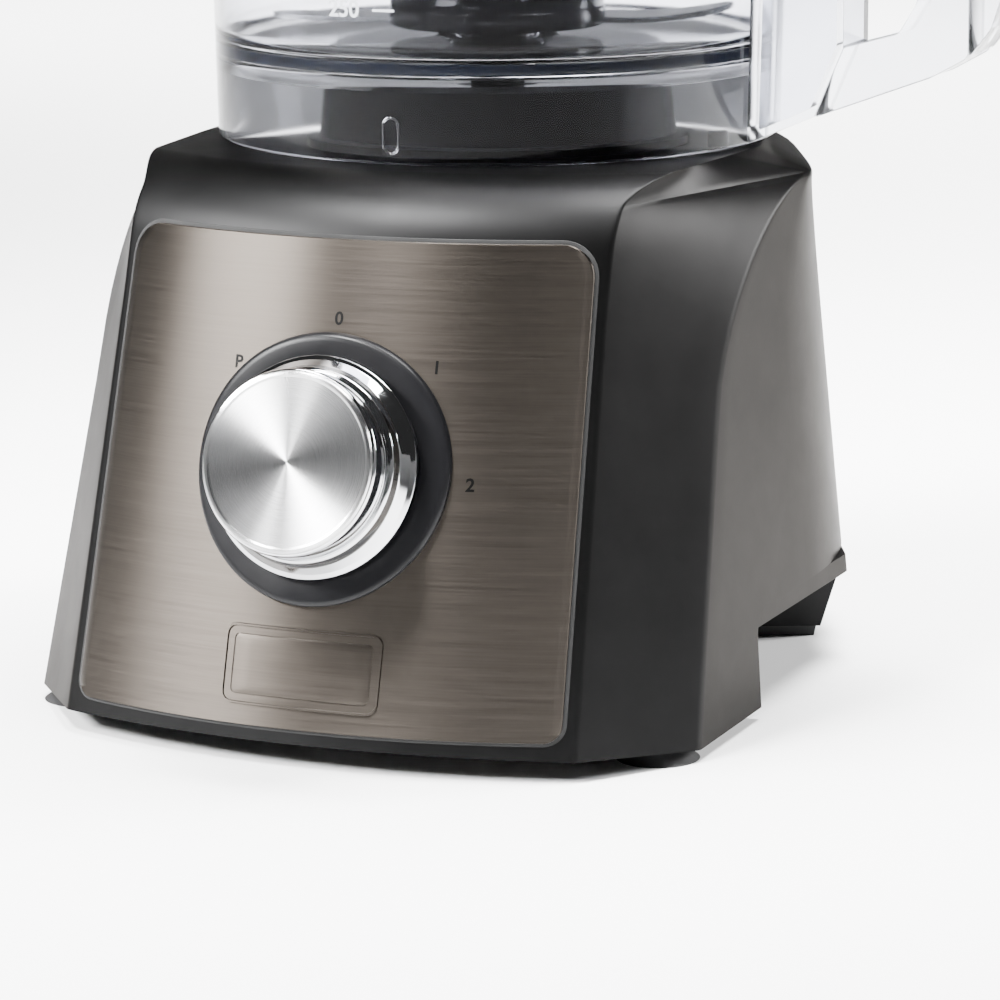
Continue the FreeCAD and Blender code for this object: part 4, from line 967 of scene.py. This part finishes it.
def make_pushers():
    inset = CHUTE_WALL + 0.5
    lower = prism(window(-inset, CHUTE_ROUND - inset), LID_UNDER + 4, CHUTE_TOP + 0.5)
    cap = prism(window(1, CHUTE_ROUND + 1), CHUTE_TOP + 0.4, PUSHER_TOP)
    body = build("pusher_body", "pusher", "black_plastic", GLOSS, *lower, ["food_pusher"], bevel=0.8,
                 soft=30.0)
    top = build("pusher_cap", "pusher", "black_plastic", TRIM, *cap, bevel=1.6, soft=30.0)
    under, brim = LID_UNDER + 2, PUSHER_TOP + 0.4
    for piece in (body, top):
        bore, faces = lathe([(0.01, under), (CUP_WELL, under), (CUP_WELL, 420.0), (0.01, 420.0)], 96)
        cut(piece, [solid_from([(x, y + CHUTE_Y, z) for x, y, z in bore], faces)], 30.0)
    cup = [(0.03, LID_UNDER + 6), (CUP_RAD, LID_UNDER + 6, 1.5), (CUP_RAD, brim, 0.3), (CUP_BRIM, brim, 1.0),
           (CUP_BRIM, CUP_TOP, 1.5), (CUP_BORE, CUP_TOP, 1.0), (CUP_BORE, LID_UNDER + 9, 2.0),
           (0.03, LID_UNDER + 9)]
    points, faces = lathe(rounded(cup), 96)
    points = [(x, y + CHUTE_Y, z) for x, y, z in points]
    build("cup_shell", "cup", "clear_plastic", CLEAR, points, faces, ["small_pusher"], soft=35.0)


def make_spring():
    """The coil under the interlock plunger, built at one length; the real one shortens as the plunger goes
    down.
    """
    low, high = (Vector(corner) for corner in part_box("interlock_spring"))
    wire, turns, steps, sides = 0.4, 6, 24, 10
    coil = (high.x - low.x) / MM / 2 - wire
    tall = (high.z - low.z) / MM
    rows = turns * steps + 1
    points = []
    for row in range(rows):
        around = 2 * math.pi * row / steps
        rise = wire + (tall - 2 * wire) * row / (rows - 1)
        for side in range(sides):
            angle = 2 * math.pi * side / sides
            out = coil + wire * math.cos(angle)
            points.append((out * math.cos(around), out * math.sin(around), rise + wire * math.sin(angle)))
    faces = grid_faces(rows, sides, closed=True)
    faces += [tuple(range(sides)), tuple(range((rows - 1) * sides, rows * sides))]
    foot = Vector(((low.x + high.x) / 2, (low.y + high.y) / 2, low.z))
    piece = build("interlock_coil", "base", "screw", STEEL, points, faces, ["interlock_spring"],
                  turn=Matrix.Translation(foot), soft=50.0)
    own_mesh(piece)


make_housing()
make_panel()
make_bezel()
make_knob()
make_bowl()
make_floor_edge()
make_skirt_mark()
make_marks()
make_handle()
make_hub()
make_blades()
make_lid()
make_pushers()
make_spring()

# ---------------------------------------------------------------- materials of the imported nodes

FINISHES = {
    SEAT: ["bowl_seat"],
    HOUSING: ["bottom_cover", "rear_legs"],
    RUBBER: ["front_feet", "rear_feet", "cord_inlet", "shaft_seal", "motor_mounts", "lid_gasket"],
    GLOSS: ["drive_spindle", "lid_bush", "rotary_switch", "interlock_plunger"],
    STEEL: ["motor_shaft", "upper_bearing", "lower_bearing", "knob_shaft", "housing_screws"],
    CLEAR: ["lid_lug"],
    ALUMINIUM: ["upper_bracket", "lower_bracket", "heat_sink", "stator_core", "armature_core"],
    GREY: ["cooling_fan"],
}
for finish, names in FINISHES.items():
    for name in names:
        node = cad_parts[name]
        node.data.materials.clear()
        node.data.materials.append(finish.material)

# ---------------------------------------------------------------- floor, light, camera


def make_stage():
    """A pale floor that curves up into a wall all round."""
    flat, bend, tall, count = 3.3, 0.9, 1.6, 96
    section = [(0.4, 0.0), (1.2, 0.0), (flat, 0.0)]
    for step in range(1, 13):
        angle = math.radians(90 * step / 12)
        section.append((flat + bend * math.sin(angle), bend - bend * math.cos(angle)))
    section.append((flat + bend, tall))
    points = [(0.0, 0.0, 0.0)]
    for radius, height in section:
        for step in range(count):
            angle = 2 * math.pi * step / count
            points.append((radius * math.cos(angle), radius * math.sin(angle), height))
    faces = [(0, 1 + step, 1 + (step + 1) % count) for step in range(count)]
    faces += [tuple(1 + index for index in face) for face in grid_faces(len(section), count, True)]
    mesh = bpy.data.meshes.new("floor")
    mesh.from_pydata(points, [], faces)
    work = bmesh.new()
    work.from_mesh(mesh)
    bmesh.ops.recalc_face_normals(work, faces=work.faces)
    if work.faces[0].normal.z < 0:
        bmesh.ops.reverse_faces(work, faces=work.faces)
    work.to_mesh(mesh)
    work.free()
    mesh.shade_smooth()
    floor = bpy.data.objects.new("floor", mesh)
    bpy.context.scene.collection.objects.link(floor)
    pale = Finish("pale_floor", (0.90, 0.90, 0.90), 0.85)
    pale.set("Specular IOR Level", 0.1)
    tones = [(0.3, (0.89, 0.89, 0.89)), (0.7, (0.905, 0.905, 0.905))]
    pale.wire("Base Color", pale.ramp(pale.noise(3.0), tones))
    mesh.materials.append(pale.material)


def lamp(name, place, target, size, power, spread):
    """A soft rectangular lamp aimed at a target; its place and size are in metres."""
    data = bpy.data.lights.new(name, "AREA")
    data.shape = "RECTANGLE"
    data.size, data.size_y = size
    data.energy = power
    data.spread = math.radians(spread)
    made = bpy.data.objects.new(name, data)
    made.location = Vector(place)
    made.rotation_euler = (Vector(target) - Vector(place)).to_track_quat("-Z", "Y").to_euler()
    bpy.context.scene.collection.objects.link(made)


def make_light():
    world = bpy.data.worlds.new("studio")
    world.use_nodes = True
    background = world.node_tree.nodes["Background"]
    background.inputs[0].default_value = (1.0, 1.0, 1.0, 1.0)
    background.inputs[1].default_value = 0.03
    bpy.context.scene.world = world
    lamp("key", (-1.05, -0.90, 0.92), (-0.1, -0.2, 0.05), (0.7, 0.4), 26, 90)
    lamp("crown", (-0.34, -0.45, 1.22), (0.0, -0.05, 0.14), (0.3, 0.3), 8, 70)
    lamp("right", (1.30, 1.00, 0.60), (0.0, -0.05, 0.12), (0.5, 0.5), 9, 60)
    lamp("top", (0.1, 0.35, 1.35), (0.05, 0.25, 0.0), (0.8, 0.6), 40, 90)
    lamp("back", (-0.5, 1.6, 1.5), (-0.5, 1.7, 0.0), (2.8, 1.4), 110, 80)


def make_camera():
    """The camera's yaw, pitch and roll, and its place about the drive axis."""
    yaw, pitch, roll = math.radians(22.19), math.radians(12.55), math.radians(-0.45)
    place = Vector((448.6, -1100.7, 307.9)) * MM + AXIS
    ahead = Vector((-math.sin(yaw) * math.cos(pitch), math.cos(yaw) * math.cos(pitch), -math.sin(pitch)))
    right = Vector((math.cos(yaw), math.sin(yaw), 0.0))
    up = right.cross(ahead)
    turned_right = right * math.cos(roll) + up * math.sin(roll)
    turned_up = up * math.cos(roll) - right * math.sin(roll)
    data = bpy.data.cameras.new("view")
    data.lens = 145.08
    data.clip_start = 0.05
    camera = bpy.data.objects.new("view", data)
    axes = Matrix((turned_right, turned_up, -ahead)).transposed().to_4x4()
    camera.matrix_world = Matrix.Translation(place) @ axes
    bpy.context.scene.collection.objects.link(camera)
    bpy.context.scene.camera = camera


make_stage()
make_light()
make_camera()
